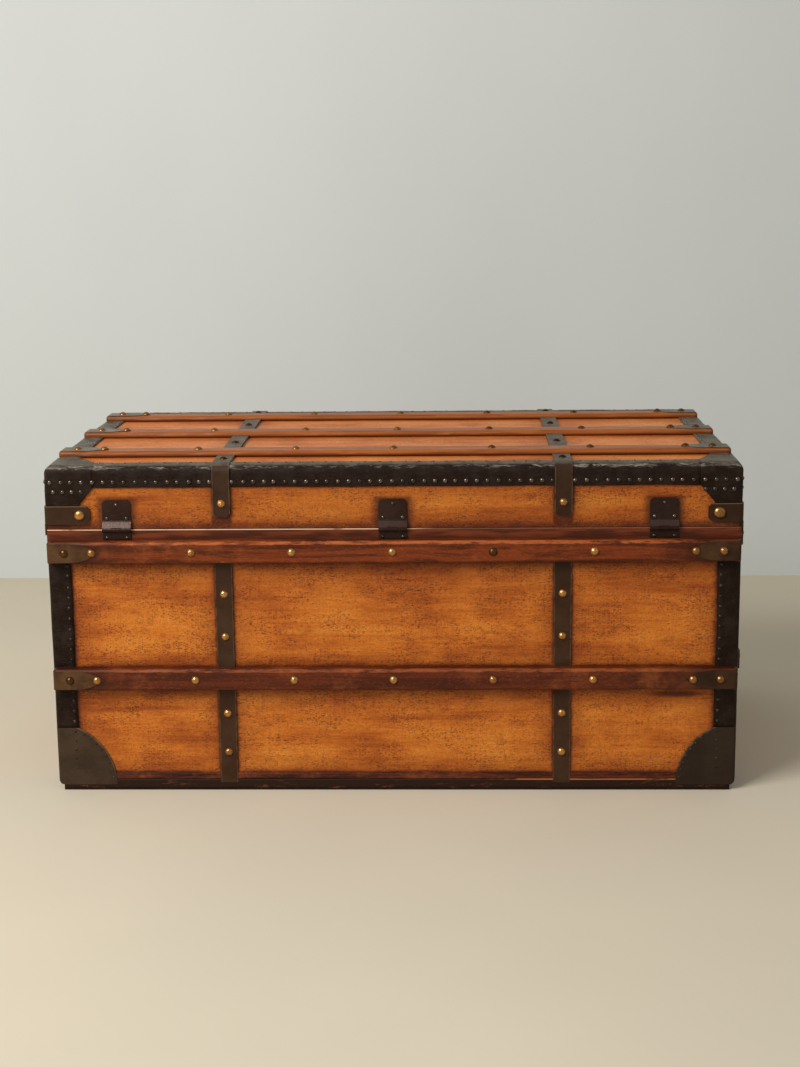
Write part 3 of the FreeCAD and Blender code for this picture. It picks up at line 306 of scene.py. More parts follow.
def over_the_edge(plan, normal, low, reach, seed):
    """Sheet that climbs the lid's wall, bends over its top edge and lies on its top: for every
    point of the plan a wall line, a quarter circle, and a line inwards as far as reach.  Where
    two sheets meet at a corner their points are held on the mitre."""
    sizes = bpy.context.scene.trunk_sizes
    r = sizes.edge_round
    rows = len(plan)
    climb = np.linspace(0, 1, 9)
    climb[1] = 0.06   # a row near the lower edge keeps that edge crisp
    turn = np.linspace(0, 1, 9)[1:]
    flat = np.linspace(0, 1, 7)[1:]
    inset_end = np.minimum(reach, r)
    angle_end = np.arccos(1 - inset_end / r)
    angle = np.concatenate([np.zeros((rows, len(climb))), angle_end[:, None] * turn[None],
                            np.repeat(angle_end[:, None], len(flat), 1)], 1)
    inset = r * (1 - np.cos(angle))
    inset[:, -len(flat):] += np.maximum(reach - r, 0)[:, None] * flat[None]
    x = np.abs(plan[:, :1] - normal[:, :1] * inset)
    y = np.abs(plan[:, 1:] - normal[:, 1:] * inset)
    x = np.minimum(x, sizes.half_width - inset) * np.sign(plan[:, :1])
    y = np.minimum(y, sizes.half_depth - inset) * np.sign(plan[:, 1:])
    z = crown(y) - r * (1 - np.sin(angle))
    start = z[:, :1]
    z[:, :len(climb)] = low[:, None] + (start - low[:, None]) * climb[None]
    points = np.stack([x, y, z], -1)
    facing = np.concatenate([np.repeat(normal[:, None], angle.shape[1], 1) * np.cos(angle)[..., None],
                             np.sin(angle)[..., None]], -1)
    lumps = ripples(points, 0.05, seed) + 0.5 * ripples(points, 0.017, seed + 1)
    points = points + facing * (lumps * sizes.ripple * 0.6)[..., None]
    fold = np.exp(-((angle - np.pi / 4) / 0.55) ** 2)
    return points, facing, fold


def leather_sheet(name, points, facing, fold, body, material, node):
    """Makes a leather sheet with its thickness; the fold is kept for the chafing and the painted
    highlight on the bend.
    """
    sizes = bpy.context.scene.trunk_sizes
    piece = make_piece(name, points, grid_faces(points, facing), body, material,
                       {"fold": fold})
    thicken(piece, sizes.leather)
    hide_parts(node)


def straight_plan(axis, side, start, end, step=0.006):
    """Plan of a straight run along the back or front (axis 0) or along an end (axis 1)."""
    run = np.linspace(start, end, max(2, round((end - start) / step)))
    points, normals = on_wall(axis, side, run, 0.0)
    return points[:, :2], normals[:, :2]


def upright(plan, normal, low, high, rows):
    """Grid of points that climbs from a plan between two heights, and its outward directions."""
    z = low[:, None] + (high - low)[:, None] * np.linspace(0, 1, rows)[None]
    points = np.concatenate([np.repeat(plan[:, None], rows, 1), z[..., None]], -1)
    facing = np.concatenate([np.repeat(normal[:, None], rows, 1), np.zeros_like(z)[..., None]], -1)
    return points, facing


def uneven(points, facing, drop, seed):
    """A wall's sheet with its slow lumps; the drop keeps them on the inward side."""
    lumps = (ripples(points, 0.06, seed) - drop) * bpy.context.scene.trunk_sizes.ripple * 0.5
    return points + facing * lumps[..., None]


# ---- Small domed heads --------------------------------------------------------------------
def domes(name, places, normals, radius, height, segments, body, material, seed):
    """Many domed heads in one mesh: a circle's rings shrink as they rise to a point.  Every head
    gets a random tone and a slightly random size."""
    rng = np.random.default_rng(seed)
    places = np.asarray(places, float)
    normals = np.asarray(normals, float)
    count = len(places)
    helper = np.where(np.abs(normals[:, 2:]) > 0.9, [[1.0, 0, 0]], [[0, 0, 1.0]])
    side = np.cross(helper, normals)
    side /= np.linalg.norm(side, axis=1)[:, None]
    other = np.cross(normals, side)
    ring = np.array([(1.0, -0.35), (1.0, 0.08), (0.86, 0.5), (0.52, 0.87), (0.0, 1.0)])
    turn = np.linspace(0, 2 * np.pi, segments, endpoint=False)
    size = rng.uniform(0.9, 1.1, count)[:, None, None]
    out = ring[None, :, 1, None] * height * size
    across = ring[None, :, 0, None] * radius * size
    points = (places[:, None, None] + normals[:, None, None] * out[..., None]
              + side[:, None, None] * (across * np.cos(turn))[..., None]
              + other[:, None, None] * (across * np.sin(turn))[..., None])
    rows = len(ring)
    index = np.arange(rows * segments).reshape(rows, segments)
    after = np.roll(index, -1, axis=1)
    quads = np.stack([index[:-1], after[:-1], after[1:], index[1:]], -1).reshape(-1, 4)
    faces = np.concatenate([quads + k * rows * segments for k in range(count)]).tolist()
    faces += [(index[0][::-1] + k * rows * segments).tolist() for k in range(count)]
    tone = np.repeat(rng.uniform(0, 1, count), rows * segments)
    return make_piece(name, points, faces, body, material, {"tone": tone})


def spread(start, end, pitch, seed):
    """Places between two ends at about the given pitch, each a little off."""
    rng = np.random.default_rng(seed)
    count = max(2, round(abs(end - start) / pitch) + 1)
    places = np.linspace(start, end, count)
    places[1:-1] += rng.uniform(-0.09, 0.09, count - 2) * pitch
    return places


# ---- Materials ----------------------------------------------------------------------------
class Recipe:
    """One material's node graph.  Each method adds a node and returns what comes out of it."""

    def __init__(self, name):
        self.material = bpy.data.materials.new(name)
        self.material.use_nodes = True
        self.tree = self.material.node_tree
        self.tree.nodes.clear()
        self.shader = self.add("ShaderNodeBsdfPrincipled")
        output = self.add("ShaderNodeOutputMaterial")
        self.tree.links.new(self.shader.outputs[0], output.inputs["Surface"])
        self.object = self.add("ShaderNodeTexCoord").outputs["Object"]
        self.x, self.y, self.z = self.add("ShaderNodeSeparateXYZ", Vector=self.object).outputs

    def add(self, kind, settings=None, **inputs):
        node = self.tree.nodes.new(kind)
        for key, value in (settings or {}).items():
            setattr(node, key, value)
        for key, value in inputs.items():
            self.feed(node.inputs[key.replace("_", " ")], value)
        return node

    def feed(self, socket, value):
        if isinstance(value, bpy.types.NodeSocket):
            self.tree.links.new(value, socket)
        else:
            socket.default_value = value

    def math(self, operation, a, b=0.0):
        node = self.add("ShaderNodeMath", {"operation": operation})
        self.feed(node.inputs[0], a)
        self.feed(node.inputs[1], b)
        return node.outputs[0]

    def plus(self, a, b):
        return self.math("ADD", a, b)

    def minus(self, a, b):
        return self.math("SUBTRACT", a, b)

    def times(self, first, *others):
        for other in others:
            first = self.math("MULTIPLY", first, other)
        return first

    def most(self, first, *others):
        for other in others:
            first = self.math("MAXIMUM", first, other)
        return first

    def off(self, value, centre=0.0):
        """How far a value is from a centre, without its sign."""
        return self.math("ABSOLUTE", self.minus(value, centre) if centre else value)

    def hypotenuse(self, a, b):
        return self.math("SQRT", self.plus(self.times(a, a), self.times(b, b)))

    def mix(self, share, a, b):
        node = self.add("ShaderNodeMix", {"data_type": "RGBA"})
        self.feed(node.inputs[0], share)
        self.feed(node.inputs[6], a)
        self.feed(node.inputs[7], b)
        return node.outputs[2]

    def step(self, value, low, high, start=0.0, end=1.0):
        """Smooth step of a value from low to high."""
        node = self.add("ShaderNodeMapRange", {"interpolation_type": "SMOOTHSTEP"}, Value=value,
                        From_Min=low, From_Max=high, To_Min=start, To_Max=end)
        return node.outputs[0]

    def place(self, lengths, shift=(0.0, 0.0, 0.0)):
        """The point on the object, measured in the given lengths, and shifted.  Lengths are in
        metres along X, Y and Z, or one for all three."""
        return self.add("ShaderNodeMapping", Vector=self.object, Location=shift,
                        Scale=tuple(1 / one for one in np.broadcast_to(lengths, 3).tolist())).outputs[0]

    def noise(self, lengths, detail=3.0, rough=0.55, shift=(0.0, 0.0, 0.0), distort=0.0):
        """Noise whose features have the given lengths."""
        return self.add("ShaderNodeTexNoise", Vector=self.place(lengths, shift), Scale=1.0,
                        Detail=detail, Roughness=rough, Distortion=distort).outputs[0]

    def bands(self, value, end, stops):
        """Value 0 to end looked up in a list of (place, strength)."""
        node = self.add("ShaderNodeValToRGB", Fac=self.math("DIVIDE", value, end))
        ramp = node.color_ramp
        while len(ramp.elements) < len(stops):
            ramp.elements.new(0.5)
        for element, (place, strength) in zip(ramp.elements, stops):
            element.position = place / end
            element.color = (strength, strength, strength, 1)
        return node.outputs[0]

    def distance(self, centre, radii):
        """How far the point is from a centre, in the given lengths."""
        place = self.place(radii, tuple(-c / r for c, r in zip(centre, radii)))
        return self.add("ShaderNodeVectorMath", {"operation": "LENGTH"}, Vector=place).outputs["Value"]

    def spot(self, centre, radii, soft):
        """1 inside an ellipsoid, falling to 0 over its outer share."""
        return self.step(self.distance(centre, radii), 1 - soft, 1.0, 1.0, 0.0)

    def dashes(self, lengths, crowd, shift=(0.0, 0.0, 0.0)):
        """Short marks, at most one in a cell of the given lengths: 1 inside a mark.  A cell has
        its mark where its own random number plus crowd passes 1."""
        cells = self.add("ShaderNodeTexVoronoi", {"feature": "F1"}, Vector=self.place(lengths, shift),
                         Scale=1.0)
        own = self.add("ShaderNodeSeparateColor", Color=cells.outputs["Color"]).outputs[0]
        size = self.step(self.plus(own, crowd), 1.0, 1.5, 0.0, 0.42)
        return self.step(self.minus(size, cells.outputs["Distance"]), 0.0, 0.12)

    def field(self, name):
        return self.add("ShaderNodeAttribute", {"attribute_name": name}).outputs["Fac"]

    def finish(self, tint, roughness, height=None, depth=0.0, metallic=0.0, specular=0.5):
        """Colour, gloss and relief of the material; the depth is what height 1 stands for."""
        self.feed(self.shader.inputs["Base Color"], tint)
        self.feed(self.shader.inputs["Roughness"], roughness)
        self.shader.inputs["Metallic"].default_value = metallic
        self.shader.inputs["Specular IOR Level"].default_value = specular
        if height is not None:
            bump = self.add("ShaderNodeBump", Height=height, Strength=1.0, Distance=depth)
            self.feed(self.shader.inputs["Normal"], bump.outputs[0])
        return self.material


def shade(tint, share):
    """A colour made darker or paler."""
    return tuple(min(1.0, c * share) for c in tint[:3]) + (1.0,)


def along(grain, long, short):
    """Lengths of a streak that runs along one axis."""
    return tuple(long if axis == grain else short for axis in range(3))


def varnished_board(name, grain, tones, dirt_and_shade, marks=None, pores=0.5):
    """Old varnished softwood in the four given tones: broad figure and fine streaks along the grain,
    dark pores in patches, redder and dirty against the fittings with painted shade there, and stains."""
    light, middle, dark, edge = tones
    r = Recipe(name)
    figure = r.noise(along(grain, 0.30, 0.026), 3, 0.55, distort=0.6)
    streak = r.noise(along(grain, 0.050, 0.0030), 3, 0.65, (3, 1, 2))
    hair = r.noise(along(grain, 0.012, 0.0009), 3, 0.6, (7, 5, 1))
    weave = r.noise(along(grain, 0.0019, 0.0130), 3, 0.6, (4, 7, 6), distort=1.5)
    rough = r.noise((0.0042, 0.0042, 0.0032), 4, 0.8, (8, 2, 8))
    blotch = r.noise((0.12, 0.12, 0.08), 4, 0.6, (1, 8, 4))
    tone = r.plus(r.times(figure, 0.34), r.times(streak, 0.20))
    tone = r.plus(tone, r.times(blotch, 0.46))
    tint = r.mix(r.step(tone, 0.34, 0.53), dark, middle)
    tint = r.mix(r.step(tone, 0.46, 0.66), tint, light)
    stain = r.step(r.noise((0.05, 0.05, 0.026), 4, 0.62, (6, 9, 2)), 0.54, 0.74, 0.0, 0.6)
    tint = r.mix(stain, tint, dark)
    tint = r.mix(r.step(hair, 0.48, 0.72, 0.0, 0.32), tint, dark)
    tint = r.mix(r.step(weave, 0.46, 0.70, 0.0, 0.30), tint, dark)
    tint = r.mix(r.step(rough, 0.46, 0.66, 0.0, 0.42), tint, dark)
    tint = r.mix(r.step(rough, 0.44, 0.30, 0.0, 0.30), tint, light)
    near = dirt_and_shade(r)
    cloud = r.noise((0.03, 0.03, 0.018), 4, 0.65, (5, 5, 5))
    tint = r.mix(r.times(near, r.step(cloud, 0.2, 0.6, 0.35, 0.95)), tint, edge)
    patch = r.step(r.noise((0.06, 0.06, 0.03), 3, 0.6, (4, 2, 9)), 0.38, 0.68, 0.30, 0.80)
    patch = r.plus(patch, r.times(near, 0.30))
    pore = r.most(r.dashes(along(grain, 0.0064, 0.0019), patch, (9, 3, 5)),
                  r.dashes(along(grain, 0.0030, 0.0022), patch, (2, 6, 1)),
                  r.dashes(along(grain, 0.0038, 0.0015), patch, (7, 8, 3)))
    strong = r.dashes(along(grain, 0.0085, 0.0026), r.minus(patch, 0.30), (1, 4, 7))
    wavy = r.noise(along(grain, 0.0130, 0.0042), 3, 0.7, (2, 2, 5), distort=1.0)
    wavy = r.step(r.off(r.minus(wavy, 0.5)), 0.0, 0.026, 0.75, 0.0)
    tint = r.mix(r.times(wavy, pores), tint, shade(edge, 0.8))
    tint = r.mix(r.times(pore, pores), tint, shade(edge, 0.45))
    tint = r.mix(r.times(strong, 0.65), tint, shade(dark, 0.24))
    # Painted shadow, partly real soiling: a near-black line right against the fittings; the marks join
    # it.
    grime_and_shadow = r.times(r.step(near, 0.62, 1.0), r.step(cloud, 0.25, 0.65, 0.25, 0.8))
    if marks is not None:
        grime_and_shadow = r.most(grime_and_shadow, marks(r))
    tint = r.mix(grime_and_shadow, tint, shade(dark, 0.22))
    gloss = r.step(blotch, 0.3, 0.7, 0.46, 0.36)
    height = r.minus(r.times(hair, 0.5), r.times(pore, 0.5))
    return r.finish(tint, gloss, height, 0.0004, specular=0.2)


def varnished_bar(name, grain, base, dark, worn, strong, marks=None, stain=None):
    """Dark varnished bar: streaks along the grain, rubbed pale where the edge field is high, partly as a
    painted highlight, and stained where the marks are, which on the slats' sides is painted shade."""
    r = Recipe(name)
    figure = r.noise(along(grain, 0.16, 0.010), 4, 0.65, distort=0.8)
    streak = r.noise(along(grain, 0.045, 0.0019), 3, 0.65, (3, 1, 2))
    blotch = r.noise(0.06, 4, 0.65, (1, 8, 4))
    tint = r.mix(r.step(figure, 0.38, 0.58), dark, base)
    tint = r.mix(r.step(streak, 0.48, 0.70, 0.0, 0.55), tint, dark)
    tint = r.mix(r.step(blotch, 0.50, 0.75, 0.0, 0.30), tint, worn)
    fleck = r.noise(along(grain, 0.0050, 0.0017), 3, 0.7, (9, 9, 2))
    tint = r.mix(r.step(fleck, 0.50, 0.72, 0.0, 0.40), tint, dark)
    tint = r.mix(r.step(fleck, 0.48, 0.30, 0.0, 0.16), tint, worn)
    chip = r.noise((0.03, 0.006, 0.006), 5, 0.75)
    # Rubbed pale on the edges: partly wear, partly a painted highlight along the upper edge.
    rub_and_highlight = r.plus(r.times(r.field("edge"), 0.62), chip)
    rub_and_highlight = r.step(rub_and_highlight, 1.00, 1.17, 0.0, strong)
    tint = r.mix(rub_and_highlight, tint, worn)
    crack = r.noise(along(grain, 0.09, 0.0015), 2, 0.5, (6, 4, 8))
    crack = r.step(crack, 0.70, 0.75)
    tint = r.mix(r.times(crack, 0.7), tint, shade(dark, 0.2))
    if marks is not None:
        tint = r.mix(marks(r), tint, stain or shade(dark, 0.5))
    height = r.minus(r.times(streak, 0.4), crack)
    return r.finish(tint, r.step(streak, 0.3, 0.7, 0.34, 0.48), height, 0.0004, specular=0.2)


def lid_dust_and_sheen(r, tint, share=1.0):
    """Pale dust, and a painted sheen of the bright sky, on what faces up on the lid."""
    cloud = r.noise(0.02, 4, 0.65, (3, 9, 3))
    cloud = r.step(cloud, 0.3, 0.7, 0.22 * share, 0.62 * share)
    return r.mix(r.times(r.step(r.z, 0.4375, 0.4400), cloud), tint, (0.25, 0.225, 0.165, 1))


def chafed_leather(name, base, worn, amount=1.0):
    """Black leather: fine grain, soft creases, pale dust with painted sheen on top, and pale scuffs and
    flakes on the folds, partly wear and partly a painted highlight of the glossy bend.
    """
    r = Recipe(name)
    grain = r.add("ShaderNodeTexVoronoi", {"feature": "DISTANCE_TO_EDGE"}, Vector=r.object, Scale=620.0)
    grain = r.step(grain.outputs["Distance"], 0.0, 0.22)
    crease = r.noise((0.035, 0.035, 0.009), 4, 0.65, distort=1.2)
    mottle = r.noise(0.025, 4, 0.7, (2, 3, 4))
    tint = r.mix(r.step(mottle, 0.40, 0.70, 0.0, 0.06), base, worn)
    tint = lid_dust_and_sheen(r, tint, 0.75)
    stretch = r.step(r.noise(0.16, 3, 0.6, (3, 7, 5)), 0.42, 0.60, 0.27, 0.39)
    # Painted highlight: a little more of the pale flakes left of the middle, where the bend is lit most.
    chafed_and_lit = r.times(r.step(r.x, -0.40, -0.30), r.step(r.x, -0.20, -0.10, 0.05, 0.0))
    stretch = r.plus(stretch, chafed_and_lit)
    fold = r.times(r.field("fold"), stretch)
    scuff = r.plus(fold, r.noise((0.014, 0.004, 0.004), 5, 0.75, (8, 1, 1)))
    scuff = r.step(scuff, 0.78, 0.92, 0.0, 0.6 * amount)
    tint = r.mix(scuff, tint, worn)
    # The flakes are partly chipped leather and partly painted glints on the bend.
    flake_and_glint = r.plus(fold, r.noise((0.026, 0.0055, 0.0050), 4, 0.75, (5, 1, 7), distort=0.8))
    flake_and_glint = r.step(flake_and_glint, 0.855, 0.905, 0.0, 0.8 * amount)
    tint = r.mix(flake_and_glint, tint, shade(worn, 1.5))
    height = r.plus(r.times(grain, 0.2), r.times(crease, 1.4))
    height = r.minus(height, r.times(flake_and_glint, 0.8))
    return r.finish(tint, r.step(mottle, 0.3, 0.7, 0.28, 0.44), height, 0.0009, specular=0.10)


def old_iron(name, base, worn, gloss, rubs_and_glints, amount, darker=(0.38, 0.0)):
    """Oxidised sheet iron: cloudy dark tones, fine scratches, rubbed places, a little rust, pale dust
    with painted sheen on top, and the given marks in the worn colour: rubbed lines, and on the hinges a
    painted glint.  It darkens to the right, as painted shade, and towards the top, by the two given
    shares."""
    r = Recipe(name)
    rust = paint((0.30, 0.15, 0.07))
    cloud = r.noise(0.04, 4, 0.65)
    fine = r.noise(0.0035, 4, 0.7, (4, 4, 1))
    scratch = r.noise((0.03, 0.0009, 0.0015), 2, 0.6, (1, 2, 7), distort=0.4)
    tint = r.mix(r.step(cloud, 0.3, 0.7, 0.0, amount), base, worn)
    tint = r.mix(r.step(fine, 0.55, 0.8, 0.0, 0.5), tint, rust)
    tint = r.mix(r.step(scratch, 0.68, 0.78, 0.0, 0.35), tint, worn)
    tint = lid_dust_and_sheen(r, tint)
    shade_to_right, upwards = darker
    # Painted shade: darker to the right, away from the light; also darker towards the top.
    shares = r.plus(r.step(r.x, -0.1, 0.45, 0.0, shade_to_right), r.step(r.z, 0.15, 0.42, 0.0, upwards))
    tint = r.mix(shares, tint, shade(base, 0.5))
    if rubs_and_glints is not None:
        tint = r.mix(rubs_and_glints(r), tint, worn)
    height = r.plus(r.times(fine, 0.5), cloud)
    return r.finish(tint, r.step(cloud, 0.3, 0.7, *gloss), height, 0.0005, metallic=0.1, specular=0.16)


def tarnished_brass(name, base, dark, places):
    """Brass heads: every head its own tone; duller on the lid's top; a few stained nearly black,
    as are those in the cross straps there."""
    r = Recipe(name)
    own = r.noise(0.045, 1, 0.5)
    fine = r.noise(0.0026, 3, 0.7, (4, 4, 1))
    tint = r.mix(r.step(own, 0.40, 0.70, 0.0, 0.45), base, dark)
    tint = r.mix(r.step(fine, 0.50, 0.70, 0.0, 0.75), tint, dark)
    top = r.step(r.z, 0.430, 0.436)
    tint = r.mix(r.times(top, r.step(r.x, -0.10, 0.15, 0.55, 0.95)), tint, dark)
    tint = r.mix(r.step(r.x, 0.36, 0.38, 0.0, 0.5), tint, dark)
    strap = r.times(r.step(r.off(r.off(r.x), STRAP), 0.009, 0.010, 1.0, 0.0), top)
    black = r.most(strap, *[r.spot(place, (0.009, 0.02, 0.009), 0.1) for place in places])
    tint = r.mix(r.times(black, 0.85), tint, shade(dark, 0.25))
    return r.finish(tint, r.step(fine, 0.3, 0.7, 0.20, 0.36), fine, 0.0003, metallic=0.9)


def plain_recipe(name, tint, roughness, metallic=0.0):
    """Small heads and threads: one colour, varied from piece to piece and by fine noise."""
    r = Recipe(name)
    fine = r.noise(0.002, 3, 0.7)
    share = r.plus(r.times(r.field("tone"), 0.5), r.times(fine, 0.6))
    varied = r.mix(r.step(share, 0.15, 0.85), shade(tint, 0.45), shade(tint, 1.7))
    return r.finish(varied, roughness, fine, 0.0001, metallic=metallic, specular=0.3)


def finishes():
    """The scene's colours, as a screen shows them; paint() makes them linear."""
    return bpy.context.scene.trunk_colours


def wear_cad(material, *names):
    """Gives CAD nodes their material."""
    for name in names:
        slots = NODES[name].data.materials
        slots.clear()
        slots.append(material)


def plate_circle():
    """Centre and radius of a corner plate's round edge, measured from the trunk's corner: the
    circle through the edge's two ends and the middle of its bulge."""
    start, end = np.array(PLATE_ENDS)
    chord = np.linalg.norm(end - start)
    radius = (chord ** 2 / 4 + PLATE_BULGE ** 2) / (2 * PLATE_BULGE)
    out = np.array([start[1] - end[1], end[0] - start[0]]) / chord
    return (start + end) / 2 - out * (radius - PLATE_BULGE), float(radius)


# ---- Operators ----------------------------------------------------------------------------
class TRUNK_OT_stage(Operator):
    """Floor, wall, lamps and camera"""
    bl_idname = "trunk.stage"
    bl_label = "Stage"

    def execute(self, context):
        stage = context.scene.trunk_stage
        colours = finishes()
        floor = self.sheet("floor", [(-6, -6, 0), (6, -6, 0), (6, 6, 0), (-6, 6, 0)], colours.floor)
        far = stage.wall_distance
        wall = self.sheet("wall", [(-6, far, -0.01), (6, far, -0.01), (6, far, 5), (-6, far, 5)],
                          colours.wall, one_sided=True)
        self.lamp("key", stage.key, (-1.65, -1.8, 2.1), 1.5)
        self.lamp("fill", stage.fill, (2.6, -1.6, 1.5), 2.2)
        world = bpy.data.worlds.new("soft_sky")
        world.use_nodes = True
        background = world.node_tree.nodes["Background"]
        background.inputs["Color"].default_value = (0.97, 0.98, 0.97, 1)
        background.inputs["Strength"].default_value = stage.sky
        context.scene.world = world
        self.camera(context, stage)
        context.scene.view_settings.view_transform = "Standard"
        return {"FINISHED"}

    def sheet(self, name, corners, tint, one_sided=False):
        """A flat sheet of the stage.  A one-sided sheet can't be seen from behind."""
        mesh = bpy.data.meshes.new(name)
        mesh.from_pydata(corners, [], [(0, 1, 2, 3)])
        sheet = bpy.data.objects.new(name, mesh)
        bpy.context.scene.collection.objects.link(sheet)
        r = Recipe(name)
        cloth = r.noise((0.5, 0.5, 0.9), 3, 0.5)
        plain = paint(tint)
        tint = r.mix(r.step(cloth, 0.3, 0.7), shade(plain, 0.96), plain)
        material = r.finish(tint, 0.95, specular=0.1)
        if one_sided:
            clear = r.add("ShaderNodeBsdfTransparent")
            back = r.add("ShaderNodeNewGeometry").outputs["Backfacing"]
            blend = r.add("ShaderNodeMixShader", Fac=back)
            r.tree.links.new(r.shader.outputs[0], blend.inputs[1])
            r.tree.links.new(clear.outputs[0], blend.inputs[2])
            output = next(n for n in r.tree.nodes if n.type == "OUTPUT_MATERIAL")
            r.tree.links.new(blend.outputs[0], output.inputs["Surface"])
        mesh.materials.append(material)
        return sheet

    def lamp(self, name, power, place, size):
        """A square lamp that faces the trunk."""
        data = bpy.data.lights.new(name, "AREA")
        data.energy = power
        data.size = size
        lamp = bpy.data.objects.new(name, data)
        lamp.location = place
        lamp.rotation_euler = (Vector((0, 0, 0.2)) - lamp.location).to_track_quat("-Z", "Y").to_euler()
        bpy.context.scene.collection.objects.link(lamp)

    def camera(self, context, stage):
        """A camera that looks along +Y, turned down by its pitch, aside by its yaw, and rolled."""
        pitch, yaw, roll = stage.camera_turn
        forward = Vector((math.sin(yaw) * math.cos(pitch), math.cos(yaw) * math.cos(pitch),
                          -math.sin(pitch)))
        level = Vector((math.cos(yaw), -math.sin(yaw), 0))
        up = level.cross(forward)
        right = level * math.cos(roll) + up * math.sin(roll)
        upright = up * math.cos(roll) - level * math.sin(roll)
        data = bpy.data.cameras.new("camera")
        data.lens = stage.lens
        data.sensor_width = 36.0
        camera = bpy.data.objects.new("camera", data)
        turn = Matrix((right, upright, -forward)).transposed()
        camera.matrix_world = Matrix.Translation(Vector(stage.camera_place)) @ turn.to_4x4()
        context.scene.collection.objects.link(camera)
        context.scene.camera = camera


class TRUNK_OT_boards(Operator):
    """Varnished boards of the body and the lid"""
    bl_idname = "trunk.boards"
    bl_label = "Boards"

    def execute(self, context):
        c = finishes()
        tones = [paint(one) for one in (c.board_light, c.board_middle, c.board_dark, c.board_edge)]
        # Ramps against the fittings where the boards are dirty and carry painted shade; the long ramp up
        # to the upper batten, 0.250 to 0.313, is the batten's painted shade on the boards.
        heights = [(0.0, 1), (0.0245, 1), (0.030, 0.45), (0.052, 0.0), (0.105, 0.0), (0.134, 0.45),
                   (0.142, 1), (0.171, 1), (0.176, 0.4), (0.190, 0.0), (0.250, 0.0), (0.290, 0.35),
                   (0.306, 0.65), (0.313, 1), (0.356, 1), (0.364, 0.65), (0.374, 0.2), (0.390, 0.0),
                   (0.408, 0.35), (0.412, 1)]
        widths = [(0.0, 0), (0.180, 0.0), (0.204, 0.45), (0.2095, 1), (0.2315, 1), (0.237, 0.5),
                  (0.262, 0.0), (0.380, 0.0), (0.412, 0.45), (0.420, 1)]
        depths = [(0.0, 0), (0.185, 0.0), (0.212, 0.5), (0.220, 1)]

        def back_dirt_and_shade(r):
            """Soiling and painted shade beside the fittings of the back and front; little of it on the
            inside.
            """
            across = r.most(r.bands(r.z, 0.5, heights), r.bands(r.off(r.x), 0.5, widths))
            return r.times(across, r.step(r.off(r.y), 0.2385, 0.2400, 0.12, 1.0))

        def end_dirt_and_shade(r):
            """The same on the two ends."""
            across = r.most(r.bands(r.z, 0.5, heights), r.bands(r.off(r.y), 0.5, depths))
            return r.times(across, r.step(r.off(r.x), 0.4385, 0.4400, 0.12, 1.0))

        def top_darkening(r):
            """Darker and redder beside the slats, the straps and the lid's edges; fainter than on the
            back.
            """
            y = r.off(r.y)
            rows = r.bands(y, 0.5, [(0.0, 1), (0.017, 1), (0.022, 0.5), (0.035, 0.0), (0.130, 0.0),
                                    (0.143, 0.5), (0.148, 1), (0.182, 1), (0.187, 0.5),
                                    (0.20, 0.0), (0.226, 0.2), (0.230, 1)])
            side = r.bands(r.off(r.x), 0.5, widths)
            across = r.times(r.most(rows, r.times(side, 0.7)), 0.6)
            return r.times(across, r.step(r.z, 0.4310, 0.4330, 0.1, 1.0))

        def rail_marks(r):
            """Dark rings that hug the hinges, and a dirty band along the joint."""
            leaf_half, leaf_top = 0.0185, 0.3945
            asides = [r.minus(r.off(r.x, x), leaf_half) for x in HINGES]
            aside = r.math("MINIMUM", r.math("MINIMUM", asides[0], asides[1]), asides[2])
            aside = r.most(aside, 0.0)
            above = r.times(r.most(r.minus(r.z, leaf_top), 0.0), 2.2)
            far = r.hypotenuse(aside, above)
            far = r.plus(far, r.times(r.noise(0.008, 3, 0.7), 0.006))
            fine = r.step(r.noise((0.003, 0.003, 0.002), 3, 0.8, (5, 3, 1)), 0.35, 0.60, 0.25, 0.8)
            low = r.times(r.step(r.z, 0.3600, 0.3665, 1.0, 0.0), fine)
            halo = r.times(r.step(far, 0.0030, 0.0165, 0.78, 0.0),
                           r.step(r.y, -0.2475, -0.2465, 1.0, 0.0))
            return r.most(halo, r.times(low, 0.8))

        def back_marks(r):
            """A burnt smear under the lower batten's right end, and a knot under its left end."""
            burn = r.times(r.spot((0.372, -0.248, 0.1325), (0.052, 0.03, 0.007), 0.8), 0.85)
            return r.most(burn, self.knot(r, (-0.346, -0.248, 0.113)))

        back = varnished_board("honey_boards", 0, tones, back_dirt_and_shade, back_marks)
        darker = [shade(one, s) for one, s in zip(tones, (0.86, 0.9, 0.9, 1.0))]
        rail = varnished_board("rail_boards", 0, darker, back_dirt_and_shade, rail_marks)
        end = varnished_board("end_boards", 1, tones, end_dirt_and_shade)
        # Painted light: paler tones for the lid's top, which faces the light, than for the walls'
        # boards.
        bright = ((0.88, 0.56, 0.26), (0.81, 0.455, 0.175), (0.64, 0.31, 0.09), c.board_edge)
        bright = [paint(one) for one in bright]
        top = varnished_board("lid_boards", 0, bright, top_darkening, None, 0.3)
        wear_cad(back, "body_back_panel", "body_front_panel", "body_bottom")
        wear_cad(rail, "lid_back_rail", "lid_front_rail")
        black = [shade(tones[2], s) for s in (0.16, 0.10, 0.05, 0.05)]
        blackened = varnished_board("blackened_runners", 0, black, top_darkening)
        wear_cad(blackened, "bottom_runners")
        wear_cad(end, "body_left_end", "body_right_end", "lid_left_end", "lid_right_end")
        wear_cad(top, "lid_top")
        return {"FINISHED"}

    def knot(self, r, centre):
        """Rings round a point, faded out with distance."""
        ring_crowding = 2300.0
        far = r.plus(r.distance(centre, (1, 1, 1.25)), r.times(r.noise(0.006, 2), 0.004))
        rings = r.math("SINE", r.times(far, ring_crowding))
        return r.times(r.step(rings, -0.2, 1.0), r.step(far, 0.004, 0.0125, 1.0, 0.0), 0.6)


